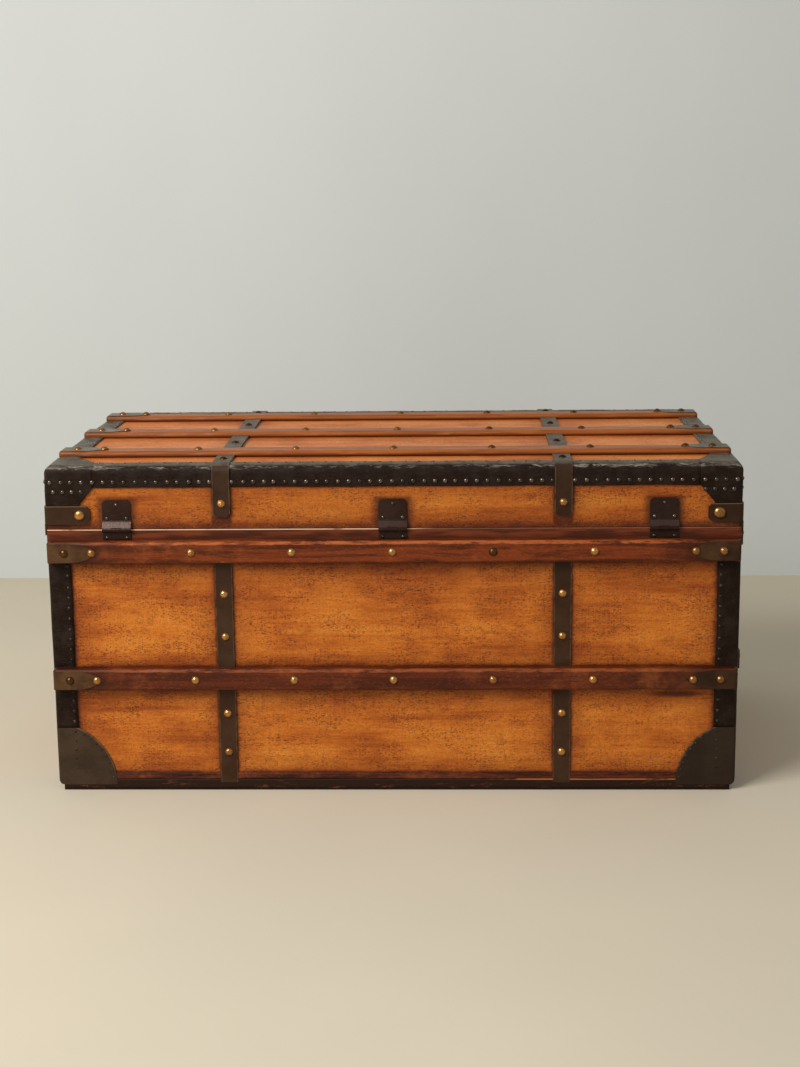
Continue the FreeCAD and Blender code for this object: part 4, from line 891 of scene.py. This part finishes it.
class TRUNK_OT_battens(Operator):
    """Battens round the body, rim strips and slats on the lid"""
    bl_idname = "trunk.battens"
    bl_label = "Battens and slats"
    thick = 0.0158   # of a batten, from the boards

    def execute(self, context):
        c = finishes()
        upper, lower, worn = paint(c.batten), paint(c.batten_low), paint(c.batten_worn)
        upper_wood = varnished_bar("upper_battens", 0, upper, shade(upper, 0.36), worn, 0.6,
                                   self.capped_ends)
        lower_wood = varnished_bar("lower_battens", 0, lower, shade(lower, 0.5), worn, 0.35,
                                   self.capped_ends)
        end_wood = varnished_bar("end_battens", 1, upper, shade(upper, 0.36), worn, 0.6)
        slat = paint(c.slat)
        # The last colour is the painted shade on the slats' upright sides.
        slat_wood = varnished_bar("lid_slats", 0, slat, shade(slat, 0.6), worn, 0.1, self.slat_shade_and_stain,
                                  paint((0.29, 0.09, 0.012)))
        woods = (upper_wood, lower_wood, lower_wood)
        names = ("batten_back_upper", "batten_back_lower", "batten_front_lower")
        for seed, (name, wood) in enumerate(zip(names, woods)):
            low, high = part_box(name)
            self.long_bar(name + "_bar", name, (low.x, high.x), wood, 10 + 3 * seed)
        self.front_stretches(upper_wood)
        for side, name in ((-1, "battens_left_end"), (1, "battens_right_end")):
            low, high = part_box(name)
            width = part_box("batten_back_upper")[1].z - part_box("batten_back_upper")[0].z
            for k, base_z in enumerate((low.z, high.z - width)):
                face = max(abs(low.x), abs(high.x))
                wooden_bar(f"{name}_bar_{k}", ((1, 1), (2, 1), (0, side)), (low.y, high.y),
                           (base_z, base_z + width), (face - self.thick, face), name, end_wood,
                           "body", 30 + side + 5 * k)
        for seed, name in enumerate(("slat_back", "slat_middle", "slat_front")):
            low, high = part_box(name)
            wooden_bar(name + "_bar", ((0, 1), (1, 1), (2, 1)), (low.x, high.x), (low.y, high.y),
                       (low.z + 0.0005, high.z), name, slat_wood, "lid", 50 + 3 * seed, 0.0045)
        self.rim()
        return {"FINISHED"}

    def capped_ends(self, r):
        """Dark stain of the wood beside the iron caps."""
        off = r.plus(r.off(r.x), r.times(r.noise((0.03, 0.01, 0.01), 3), 0.05))
        return r.step(off, 0.355, 0.435, 0.0, 0.8)

    def slat_shade_and_stain(self, r):
        """Painted shade on the upright sides of a slat, deepest at its foot, which is dirty too, and the
        stain beside the caps on its ends.
        """
        side = r.most(r.step(r.z, 0.4440, 0.4460, 0.60, 0.0), r.step(r.z, 0.4402, 0.4440, 1.0, 0.60))
        ends = r.times(self.capped_ends(r), r.step(r.z, 0.4440, 0.4462, 1.0, 0.15))
        return r.most(ends, side)

    def long_bar(self, name, node, span, wood, seed):
        """A batten along the back or the front, in the box of its node."""
        low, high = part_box(node)
        side = -1 if low.y < 0 else 1
        face = max(abs(low.y), abs(high.y))
        wooden_bar(name, ((0, 1), (2, 1), (1, side)), span, (low.z, high.z),
                   (face - self.thick, face), node, wood, "body", seed)

    def front_stretches(self, wood):
        """The upper front batten is cut at the clasps and the lock."""
        node = "battens_front_upper"
        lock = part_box("lock_case")[1].x + 0.008
        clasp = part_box("clasp_right_lever")
        middle = (clasp[0].x + clasp[1].x) / 2
        reach = 0.025
        spans = [(lock, middle - reach), (middle + reach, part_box(node)[1].x)]
        spans += [(-b, -a) for a, b in spans]
        for k, span in enumerate(spans):
            self.long_bar(f"{node}_bar_{k}", node, span, wood, 70 + k)

    def rim(self):
        """Rim strips stay as CAD solids; the top edge of the back one gets a painted highlight, full
        left of the middle and faint to the right.
        """
        base = paint((0.43, 0.19, 0.082))
        dark = shade(base, 0.36)
        r = Recipe("rim_wood")
        streak = r.noise((0.04, 0.04, 0.0022), 3, 0.65, (3, 1, 2))
        figure = r.noise((0.08, 0.08, 0.010), 4, 0.6)
        tint = r.mix(r.step(figure, 0.38, 0.60), dark, base)
        tint = r.mix(r.step(streak, 0.5, 0.72, 0.0, 0.5), tint, dark)
        low = r.step(r.z, 0.343, 0.347, 0.5, 0.0)
        tint = r.mix(low, tint, dark)
        # Painted highlight: a pale line along the back's top edge.
        top = r.times(r.step(r.z, 0.3545, 0.3555), r.step(r.y, -0.2490, -0.2480, 1.0, 0.0))
        left = r.step(r.x, 0.0, 0.06, 1.0, 0.12)
        broken = r.step(r.noise(0.05, 3, 0.6), 0.30, 0.46)
        tint = r.mix(r.times(top, left, broken), tint, paint((0.93, 0.78, 0.62)))
        wear_cad(r.finish(tint, 0.5, streak, 0.0003, specular=0.2), "rim_strips")


class TRUNK_OT_leather(Operator):
    """Nailed leather on the edges and corners, and the strips along the foot"""
    bl_idname = "trunk.leather"
    bl_label = "Leather"

    def execute(self, context):
        c = finishes()
        black = chafed_leather("black_leather", paint(c.leather), paint(c.leather_worn))
        sizes = context.scene.trunk_sizes
        self.lid_edges(black)
        self.lid_corners(sizes, black)
        self.upright_corners(sizes, black)
        self.foot()
        return {"FINISHED"}

    def lid_edges(self, leather):
        """Straight edge leathers: back, front and the two ends."""
        low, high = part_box("lid_binding_back")
        reach = high.y - low.y
        for side, name in ((-1, "lid_binding_back"), (1, "lid_binding_front")):
            plan, normal = straight_plan(0, side, low.x - 0.0005, high.x + 0.0005)
            self.edge(name, plan, normal, low.z, reach, leather, 100 + side, name)
        low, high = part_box("lid_binding_ends")
        reach = 0.0345
        for side, word in ((-1, "left"), (1, "right")):
            plan, normal = straight_plan(1, side, low.y - 0.0005, high.y + 0.0005)
            self.edge("lid_binding_" + word, plan, normal, low.z, reach, leather, 110 + side,
                      "lid_binding_ends")

    def edge(self, name, plan, normal, low, reach, leather, seed, node):
        """One edge leather, whose lower and inner edges wander by half a millimetre or so."""
        spot = np.concatenate([plan, np.zeros((len(plan), 1))], 1)
        lower = low + ripples(spot, 0.09, seed + 7) * 0.0005
        inner = reach + ripples(spot, 0.07, seed + 9) * 0.0007
        points, facing, fold = over_the_edge(plan, normal, lower, inner, seed)
        leather_sheet(name + "_leather", points, facing, fold, "lid", leather, node)

    def lid_corners(self, sizes, leather):
        """Corner leathers: straight down at the corner, slanting up to the edge leather, folded on
        the mitre on top and cut off slantwise there."""
        depth, end_top, top, slant = 0.064, 0.0345, 0.020, 0.019
        base = sizes.lid_edge - 0.029
        tip_low = base - 0.035
        r = sizes.corner_round
        seed = 130
        for side_x, width in ((-1, 0.064), (1, 0.055)):
            slope = (depth - top) / (width - end_top)
            meet = (top + slope * width) / (1 + slope)
            for side_y in (-1, 1):
                legs = []
                for leg in (width, depth):
                    tip = leg - slant
                    marks = np.concatenate([np.arange(r, leg, 0.0035), [tip - 0.0001, tip, meet, leg]])
                    legs.append(np.unique(marks.round(7)))
                shared = np.unique(np.concatenate([one[one <= meet + 1e-7] for one in legs]))
                legs = [np.concatenate([shared, one[one > meet + 1e-7]]) for one in legs]
                plan, normal, p, q = corner_path((side_x, side_y), *legs)
                on_back = p >= q
                far = np.maximum(p, q)
                leg = np.where(on_back, width, depth)
                tip = leg - slant
                low = np.where(far < tip - 5e-5, tip_low,
                               base - 0.023 + np.clip((far - tip) / slant, 0, 1) * 0.023)
                beyond = np.where(on_back, top + slope * (width - far), end_top + (depth - far) / slope)
                reach = np.maximum(np.minimum(far, beyond), r)
                points, facing, fold = over_the_edge(plan, normal, low, reach, seed)
                bend = np.exp(-(far / (1.5 * r)) ** 2)[:, None] * 0.7
                word = ("left" if side_x < 0 else "right") + ("_back" if side_y < 0 else "_front")
                leather_sheet("lid_corner_" + word, points, facing, np.maximum(fold, bend), "lid",
                              leather, "lid_corner_leathers")
                seed += 3

    def upright_corners(self, sizes, leather):
        """Leather round the body's upright corners."""
        low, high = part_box("corner_bindings_back")
        rows = 48
        legs = np.linspace(sizes.corner_round, 0.030, 7)
        loose = 0.008   # how much of a leg wanders sideways
        seed = 160
        for side_y, name in ((-1, "corner_bindings_back"), (1, "corner_bindings_front")):
            for side_x, word in ((-1, "left"), (1, "right")):
                plan, normal, p, q = corner_path((side_x, side_y), legs, legs)
                far = np.maximum(p, q)
                bend = np.exp(-(far / (1.5 * sizes.corner_round)) ** 2)
                level = np.ones(len(plan))
                points, facing = upright(plan, normal, level * low.z, level * high.z, rows)
                edge = np.clip(1 - (legs[-1] - far) / loose, 0, 1)[:, None]
                slide = ripples(points, 0.05, seed + 1) * 0.0006 * edge
                along_wall = np.where((p > q)[:, None, None], [[[1.0, 0, 0]]], [[[0, 1.0, 0]]])
                points = uneven(points + along_wall * slide[..., None], facing, 1.0, seed)
                leather_sheet(f"{name}_{word}", points, facing, np.repeat(bend[:, None] * 0.55, rows, 1),
                              "body", leather, name)
                seed += 2

    def foot(self):
        """Two strips round the foot: the red one above, the black one below it, worn through."""
        c = finishes()
        red = paint(c.red)
        ragged = self.ragged_leather(paint(c.leather), paint(c.batten_worn))
        moulding = varnished_bar("red_moulding", 0, red, shade(red, 0.3), paint(c.batten_worn), 0.4)
        strips = (("bottom_binding", 0.003, 0.0158, ragged, 0.441),
                  ("bottom_moulding", 0.0163, 0.0242, moulding, 0.41))
        seed = 180
        for name, low, high, material, reach_x in strips:
            for axis, side, word in (BACK, FRONT, LEFT, RIGHT):
                reach = reach_x if axis == 0 else 0.2
                plan, normal = straight_plan(axis, side, -reach, reach, 0.004)
                plan = plan - normal * 0.0003
                spot = np.concatenate([plan, np.zeros((len(plan), 1))], 1)
                if axis == 1 and name == "bottom_binding":
                    points, facing, fold = self.round_foot(plan, normal, high)
                else:
                    start = low if axis == 0 else max(low, 0.0165)
                    lower = start + ripples(spot, 0.03, seed) * 0.0004
                    upper = high + ripples(spot, 0.05, seed + 1) * 0.0003
                    points, facing = upright(plan, normal, lower, upper, 6)
                    points = uneven(points, facing, 1.2, seed)
                    fold = np.zeros(points.shape[:2])
                piece = make_piece(f"{name}_{word}", points, grid_faces(points, facing), "body",
                                   material, {"fold": fold, "edge": fold})
                thicken(piece, 0.0016)
                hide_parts(name)
                seed += 2

    def round_foot(self, plan, normal, high):
        """Strip over the rounded foot of an end: a quarter circle of 8 mm radius from the wall
        down to the underside."""
        radius = 0.008
        angle = np.linspace(0, 1.25, 8)
        inward = radius * (1 - np.cos(angle))
        z = np.broadcast_to((high - radius * np.sin(angle) + 0.0002)[None], (len(plan), 8))
        flat = plan[:, None] - normal[:, None] * inward[None, :, None]
        points = np.concatenate([flat, z[..., None]], -1)
        facing = np.concatenate([normal[:, None] * np.cos(angle)[None, :, None],
                                 np.broadcast_to(-np.sin(angle)[None, :, None], (len(plan), 8, 1))], -1)
        return points, facing, np.zeros(z.shape)

    def ragged_leather(self, base, worn):
        """Foot leather: black, scraped through to red-brown in long patches."""
        r = Recipe("foot_leather")
        patch = r.noise((0.045, 0.045, 0.007), 4, 0.7, (2, 4, 1))
        fine = r.noise((0.006, 0.006, 0.003), 4, 0.7, (1, 1, 8))
        bare = r.step(r.plus(r.times(patch, 0.7), r.times(fine, 0.3)), 0.55, 0.62)
        bare = r.times(bare, r.step(r.z, 0.003, 0.009, 1.0, 0.45))
        tint = r.mix(bare, shade(base, 1.7), shade(worn, 0.34))
        tint = r.mix(r.step(fine, 0.62, 0.8, 0.0, 0.25), tint, (0.25, 0.20, 0.15, 1))
        line = r.times(r.step(r.z, 0.0138, 0.0150), r.step(r.x, 0.10, 0.16),
                       r.step(r.noise((0.05, 0.05, 0.02), 3, 0.6, (6, 2, 2)), 0.36, 0.48))
        tint = r.mix(r.times(line, 0.8), tint, worn)
        return r.finish(tint, 0.6, r.minus(fine, bare), 0.0006, specular=0.15)


class TRUNK_OT_iron(Operator):
    """Straps, caps, plates, hinges, lock, clasps and handle irons"""
    bl_idname = "trunk.iron"
    bl_label = "Iron"

    def execute(self, context):
        c = finishes()
        iron, worn = paint(c.iron), paint(c.iron_worn)
        # old_iron darkens every iron to the right as painted shade; the straps and plates give their own
        # shares.
        straps = old_iron("strap_iron", iron, worn, (0.40, 0.55), self.strap_edges, 0.16, (0.14, 0.36))
        plates = old_iron("plate_iron", paint((0.20, 0.145, 0.10)), worn, (0.42, 0.58), self.plate_edge,
                          0.18, (0.62, 0.0))
        caps = old_iron("cap_iron", paint((0.175, 0.10, 0.05)), paint((0.42, 0.29, 0.17)), (0.30, 0.50),
                        None, 0.6)
        hinges = old_iron("hinge_iron", paint((0.150, 0.075, 0.048)), paint((0.36, 0.28, 0.25)),
                          (0.24, 0.38), self.hinge_glint, 0.12)
        wear_cad(straps, "straps_back", "straps_front", "lid_straps", "lid_bands", "lid_valances")
        wear_cad(plates, "corner_plates_back", "corner_plates_front")
        wear_cad(caps, "batten_caps_back", "batten_caps_front", "batten_caps_ends", "slat_caps")
        wear_cad(hinges, "hinge_body_leaves", "hinge_lid_leaves", "hinge_pins", "lock_case", "lock_bolt",
                 "lock_keeper", "clasp_bases", "clasp_pins", "clasp_left_lever", "clasp_right_lever",
                 "clasp_studs", "handle_right_brackets", "handle_left_brackets",
                 "handle_right_loops", "handle_left_loops")
        return {"FINISHED"}

    def strap_edges(self, r):
        """Rubbed lines along the edges of the upright straps."""
        off = r.off(r.off(r.x), STRAP)
        line = r.times(r.step(off, 0.0095, 0.0112), r.step(off, 0.0116, 0.013, 1.0, 0.0))
        broken = r.step(r.noise((0.01, 0.01, 0.014), 3, 0.7, (1, 1, 1)), 0.35, 0.6)
        band_top = 0.3868
        low = r.step(r.off(r.z, band_top), 0.0004, 0.0010, 0.8, 0.0)
        return r.most(r.times(line, broken, 0.6), r.times(low, r.step(r.off(r.x), 0.385, 0.387)))

    def plate_edge(self, r):
        """Rubbed line just inside the round edge of a corner plate, on the back and the front."""
        centre, radius = plate_circle()
        half = bpy.context.scene.trunk_sizes.half_width
        across = r.minus(r.minus(half, r.off(r.x)), float(centre[0]))
        far = r.hypotenuse(across, r.minus(r.z, float(centre[1])))
        broken = r.step(r.noise(0.01, 3, 0.7, (1, 1, 1)), 0.35, 0.6, 0.1, 0.75)
        return r.times(r.step(far, radius - 0.0022, radius - 0.0012), r.step(r.z, 0.020, 0.045), broken)

    def hinge_glint(self, r):
        """Painted glint, in the worn colour, on the slanting face of the left hinge; the others get only
        a little of it.
        """
        face = r.times(r.step(r.z, 0.3585, 0.3592), r.step(r.z, 0.3655, 0.3662, 1.0, 0.0))
        return r.times(face, r.step(r.x, -0.33, -0.30, 1.0, 0.25))


class TRUNK_OT_nails(Operator):
    """Brass nails, small tacks in rows, and the nails of the hinges"""
    bl_idname = "trunk.nails"
    bl_label = "Nails and tacks"

    def execute(self, context):
        c = finishes()
        sizes = context.scene.trunk_sizes
        dark_heads = [(-0.425, -0.265, 0.3275), (0.130, -0.265, 0.3275), (-0.425, -0.265, 0.1565)]
        brass = tarnished_brass("old_brass", paint(c.brass), paint((0.38, 0.22, 0.10)), dark_heads)
        wear_cad(brass, "brass_nails_body", "brass_nails_lid")
        self.band_nails(brass)
        iron = plain_recipe("tack_iron", paint((0.34, 0.30, 0.265)), 0.20, 0.9)
        dull = plain_recipe("plate_tack_iron", paint((0.21, 0.17, 0.14)), 0.34, 0.6)
        self.body_tacks(sizes, dull)
        self.lid_tacks(sizes, iron)
        self.hinge_nails(iron)
        return {"FINISHED"}

    def band_nails(self, brass):
        """Larger brass heads over the nails of the lid's end bands."""
        places = [(x, y * 0.2515, 0.375) for x in (-0.405, 0.420) for y in (-1, 1)]
        normals = [(0, np.sign(p[1]), 0) for p in places]
        domes("band_nail_heads", places, normals, 0.0075, 0.0042, 24, "lid", brass, 3)

    def body_tacks(self, sizes, dull):
        """Rows down both legs of the upright leathers, on into the plates, and along the plates'
        round edges."""
        groups = {"body_tacks": [], "plate_tacks": []}
        seed = 200
        for side_x in (-1, 1):
            for side_y in (-1, 1):
                heights = spread(0.096, 0.336, sizes.tack_pitch, seed)
                clear = (heights < 0.139) | ((heights > 0.174) & (heights < 0.310))   # of the battens
                heights = heights[clear]
                low = np.arange(0.082, 0.028, -0.0125)
                column = [np.stack([np.full(len(one), 0.0255), one], -1) for one in (heights, low)]
                spots = {"body_tacks": column[0],
                         "plate_tacks": np.concatenate([column[1], self.plate_arc()])}
                sides = (side_x, side_y)
                for axis, (group, spot) in itertools.product((0, 1), spots.items()):
                    run = (half_sizes()[axis] - spot[:, 0]) * sides[axis]
                    groups[group].append(on_wall(axis, sides[1 - axis], run, spot[:, 1], 0.0002))
                seed += 2
        for (name, rows), radius, height in zip(groups.items(), (0.75, 0.58), (0.0014, 0.0010)):
            points, normals = (np.concatenate(one) for one in zip(*rows))
            domes(name, points, normals, sizes.tack_radius * radius, height, 8, "body",
                  dull, 5)

    def plate_arc(self):
        """Places 4 mm inside a corner plate's round edge, walked at an even pitch."""
        centre, radius = plate_circle()
        a, b = (math.atan2(*(np.array(point) - centre)[::-1]) for point in PLATE_ENDS)
        turn = np.linspace(a, b, 10)[1:-1]
        return centre + (radius - 0.0042) * np.stack([np.cos(turn), np.sin(turn)], -1)

    def lid_tacks(self, sizes, iron):
        """Rows along the lower and the inner edge of the lid's leather, and a short second row on
        the corner leathers."""
        rows = []
        flat_places = []
        seed = 240
        slats = [-0.165, 0, 0.165]
        for axis in (0, 1):
            half = half_sizes()[axis]
            start, strap_in, strap_out = half - 0.008, STRAP - 0.0145, STRAP + 0.0145
            inner = 0.0165 if axis == 0 else 0.0305
            for side in (-1, 1):
                runs = [(-start, start)]
                if axis == 0:
                    runs = [(-start, -strap_out), (-strap_in, strap_in), (strap_out, start)]
                row = np.concatenate([spread(a, b, sizes.tack_pitch, seed + 20 * k)
                                      for k, (a, b) in enumerate(runs)])
                second = np.concatenate([[-half + 0.012 + 0.012 * k, half - 0.012 - 0.012 * k]
                                         for k in range(4)])
                third = spread(-half + 0.07, half - 0.07, sizes.tack_pitch * 1.25, seed + 1)
                blocked, room = ([-STRAP, STRAP], 0.014) if axis == 0 else (slats, 0.02)
                third = third[np.min(np.abs(third[:, None] - np.array(blocked)), 1) > room]
                rows += [on_wall(axis, side, row, 0.4180), on_wall(axis, side, second, 0.4055)]
                point = on_wall(axis, side, third, 0.0, inner)[0]
                point[:, 2] = crown(point[:, 1])
                flat_places.append(point)
                seed += 2
        places, normals = (np.concatenate(one) for one in zip(*rows))
        domes("lid_tacks", places, normals, sizes.tack_radius, 0.0018, 8, "lid", iron, 6)
        flat_places = np.concatenate(flat_places)
        domes("lid_top_tacks", flat_places, np.broadcast_to([0, 0, 1.0], flat_places.shape),
              sizes.tack_radius * 0.7, 0.0009, 8, "lid", iron, 9)

    def hinge_nails(self, iron):
        """Three nails in the lid's leaf and two in the body's leaf of each hinge."""
        lid_places = []
        body_places = []
        for x in HINGES:
            lid_places += [(x, -0.2496, 0.3885)]
            lid_places += [(x + off, -0.2496, 0.3705) for off in (-0.0127, 0.0127)]
            body_places += [(x - 0.013, -0.2516, 0.3455), (x + 0.013, -0.2516, 0.3455)]
        down = (0, -1.0, 0)
        domes("hinge_nails_lid", lid_places, [down] * len(lid_places), 0.0024, 0.0017, 12, "lid",
              iron, 7)
        domes("hinge_nails_body", body_places, [down] * len(body_places), 0.0022, 0.0015, 12, "body",
              iron, 8)


class TRUNK_OT_grips(Operator):
    """Sewn leather grips of the two handles"""
    bl_idname = "trunk.grips"
    bl_label = "Grips"
    stand = 0.455   # middle of the trunk to the middle of a grip

    def execute(self, context):
        c = finishes()
        brown = chafed_leather("grip_leather", paint((0.20, 0.12, 0.08)), paint((0.45, 0.30, 0.19)), 0.8)
        thread = plain_recipe("linen_thread", paint(c.thread), 0.8)
        for side, word in ((-1, "left"), (1, "right")):
            self.grip(side, word, brown, thread, context.scene.trunk_sizes)
        return {"FINISHED"}

    def line(self, count):
        """Middle line of a grip: a cubic B-spline along nine guide points, which starts and ends at
        the outer two."""
        half = [(0.062, 0.2405), (0.062, 0.232), (0.0615, 0.214), (0.036, 0.1985)]
        guide = np.array([(-y, z) for y, z in half] + [(0.0, 0.1965)] + half[::-1])
        guide = np.concatenate([guide[:1], guide[:1], guide, guide[-1:], guide[-1:]])
        at = np.linspace(0, len(guide) - 3 - 1e-9, count)
        k = at.astype(int)
        t = (at - k)[:, None]
        weights = [(1 - t) ** 3 / 6, (3 * t ** 3 - 6 * t ** 2 + 4) / 6,
                   (-3 * t ** 3 + 3 * t ** 2 + 3 * t + 1) / 6, t ** 3 / 6]
        return sum(w * guide[k + i] for i, w in enumerate(weights))

    def grip(self, side, word, brown, thread, sizes):
        """A rounded section carried along the middle line: wide and flat over the loops, narrower
        and padded where the hand goes."""
        rows, ring = 72, 24
        line = self.line(rows)
        tangent = np.gradient(line, axis=0)
        tangent /= np.linalg.norm(tangent, axis=1)[:, None]
        across = np.stack([-tangent[:, 1], tangent[:, 0]], -1)
        share = np.abs(np.linspace(-1, 1, rows))
        wide = 0.0088 + 0.0067 * np.clip((share - 0.55) / 0.3, 0, 1) ** 1.5
        wide *= np.sqrt(np.clip(1 - ((share - 0.93) / 0.0705).clip(0, 1) ** 2, 0.02, 1))
        thick = 0.0055 - 0.0016 * np.clip((share - 0.5) / 0.3, 0, 1)
        turn = np.linspace(0, 2 * np.pi, ring, endpoint=False)
        soft = np.sign(np.cos(turn)) * np.abs(np.cos(turn)) ** 0.75
        swell = np.sign(np.sin(turn)) * np.abs(np.sin(turn)) ** 0.85
        points = np.zeros((rows, ring, 3))
        points[..., 0] = side * (self.stand + thick[:, None] * swell[None])
        points[..., 1:] = line[:, None] + across[:, None] * (wide[:, None] * soft[None])[..., None]
        centre = np.zeros((rows, 1, 3))
        centre[..., 0] = side * self.stand
        centre[:, 0, 1:] = line
        faces = grid_faces(points, points - centre, closed=True)
        up = np.array([0, 0, 1])
        faces.append(end_face(points, list(range(ring)), up))
        faces.append(end_face(points, list(range((rows - 1) * ring, rows * ring)), up))
        fold = np.repeat(np.clip(np.abs(soft) - 0.75, 0, 1)[None] * 4, rows, 0)
        piece = make_piece(f"grip_{word}", points, faces, "handle_" + word, brown,
                           {"fold": fold})
        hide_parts(f"handle_{word}_grip")
        self.stitches(side, word, line, across, wide, thick, thread, sizes)

    def stitches(self, side, word, line, across, wide, thick, thread, sizes):
        """Two rows of stitches on each face of a grip, near its edges."""
        reach = np.concatenate([[0], np.cumsum(np.linalg.norm(np.diff(line, axis=0), axis=1))])
        at = np.arange(0.008, reach[-1] - 0.008, sizes.stitch_pitch)
        middle = np.stack([np.interp(at, reach, line[:, k]) for k in range(2)], -1)
        sideways = np.stack([np.interp(at, reach, across[:, k]) for k in range(2)], -1)
        half = np.interp(at, reach, wide) * 0.78
        height = np.interp(at, reach, thick) * 0.62
        places = []
        for edge in (-1, 1):
            for face in (-1, 1):
                point = np.zeros((len(at), 3))
                point[:, 0] = side * self.stand + face * height
                point[:, 1:] = middle + sideways * (half * edge)[:, None]
                places.append((point, np.repeat([[face, 0, 0]], len(at), 0)))
        points, normals = (np.concatenate(one) for one in zip(*places))
        domes(f"grip_stitches_{word}", points, normals, 0.0010, 0.0009, 6, "handle_" + word,
              thread, 9)


class TRUNK_PT_panel(Panel):
    """Lists the trunk's operators and sizes"""
    bl_idname = "TRUNK_PT_panel"
    bl_label = "Travel trunk"
    bl_space_type = "VIEW_3D"
    bl_region_type = "UI"
    bl_category = "Trunk"

    def draw(self, context):
        for name in STEPS:
            self.layout.operator("trunk." + name)
        for group in (context.scene.trunk_sizes, context.scene.trunk_colours, context.scene.trunk_stage):
            for key in group.__annotations__:
                self.layout.prop(group, key)


STEPS = ("boards", "battens", "leather", "iron", "nails", "grips", "stage")
GROUPS = {"trunk_sizes": TrunkSizes, "trunk_colours": TrunkColours, "trunk_stage": TrunkStage}
CLASSES = (TrunkSizes, TrunkColours, TrunkStage, TRUNK_OT_boards, TRUNK_OT_battens, TRUNK_OT_leather,
           TRUNK_OT_iron, TRUNK_OT_nails, TRUNK_OT_grips, TRUNK_OT_stage, TRUNK_PT_panel)


def register():
    for one in CLASSES:
        bpy.utils.register_class(one)
    for name, group in GROUPS.items():
        setattr(bpy.types.Scene, name, PointerProperty(type=group))


def unregister():
    for name in GROUPS:
        delattr(bpy.types.Scene, name)
    for one in reversed(CLASSES):
        bpy.utils.unregister_class(one)


def main():
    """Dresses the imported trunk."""
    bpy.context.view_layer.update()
    register()
    for name in STEPS:
        getattr(bpy.ops.trunk, name)()


if __name__ == "__main__":
    main()
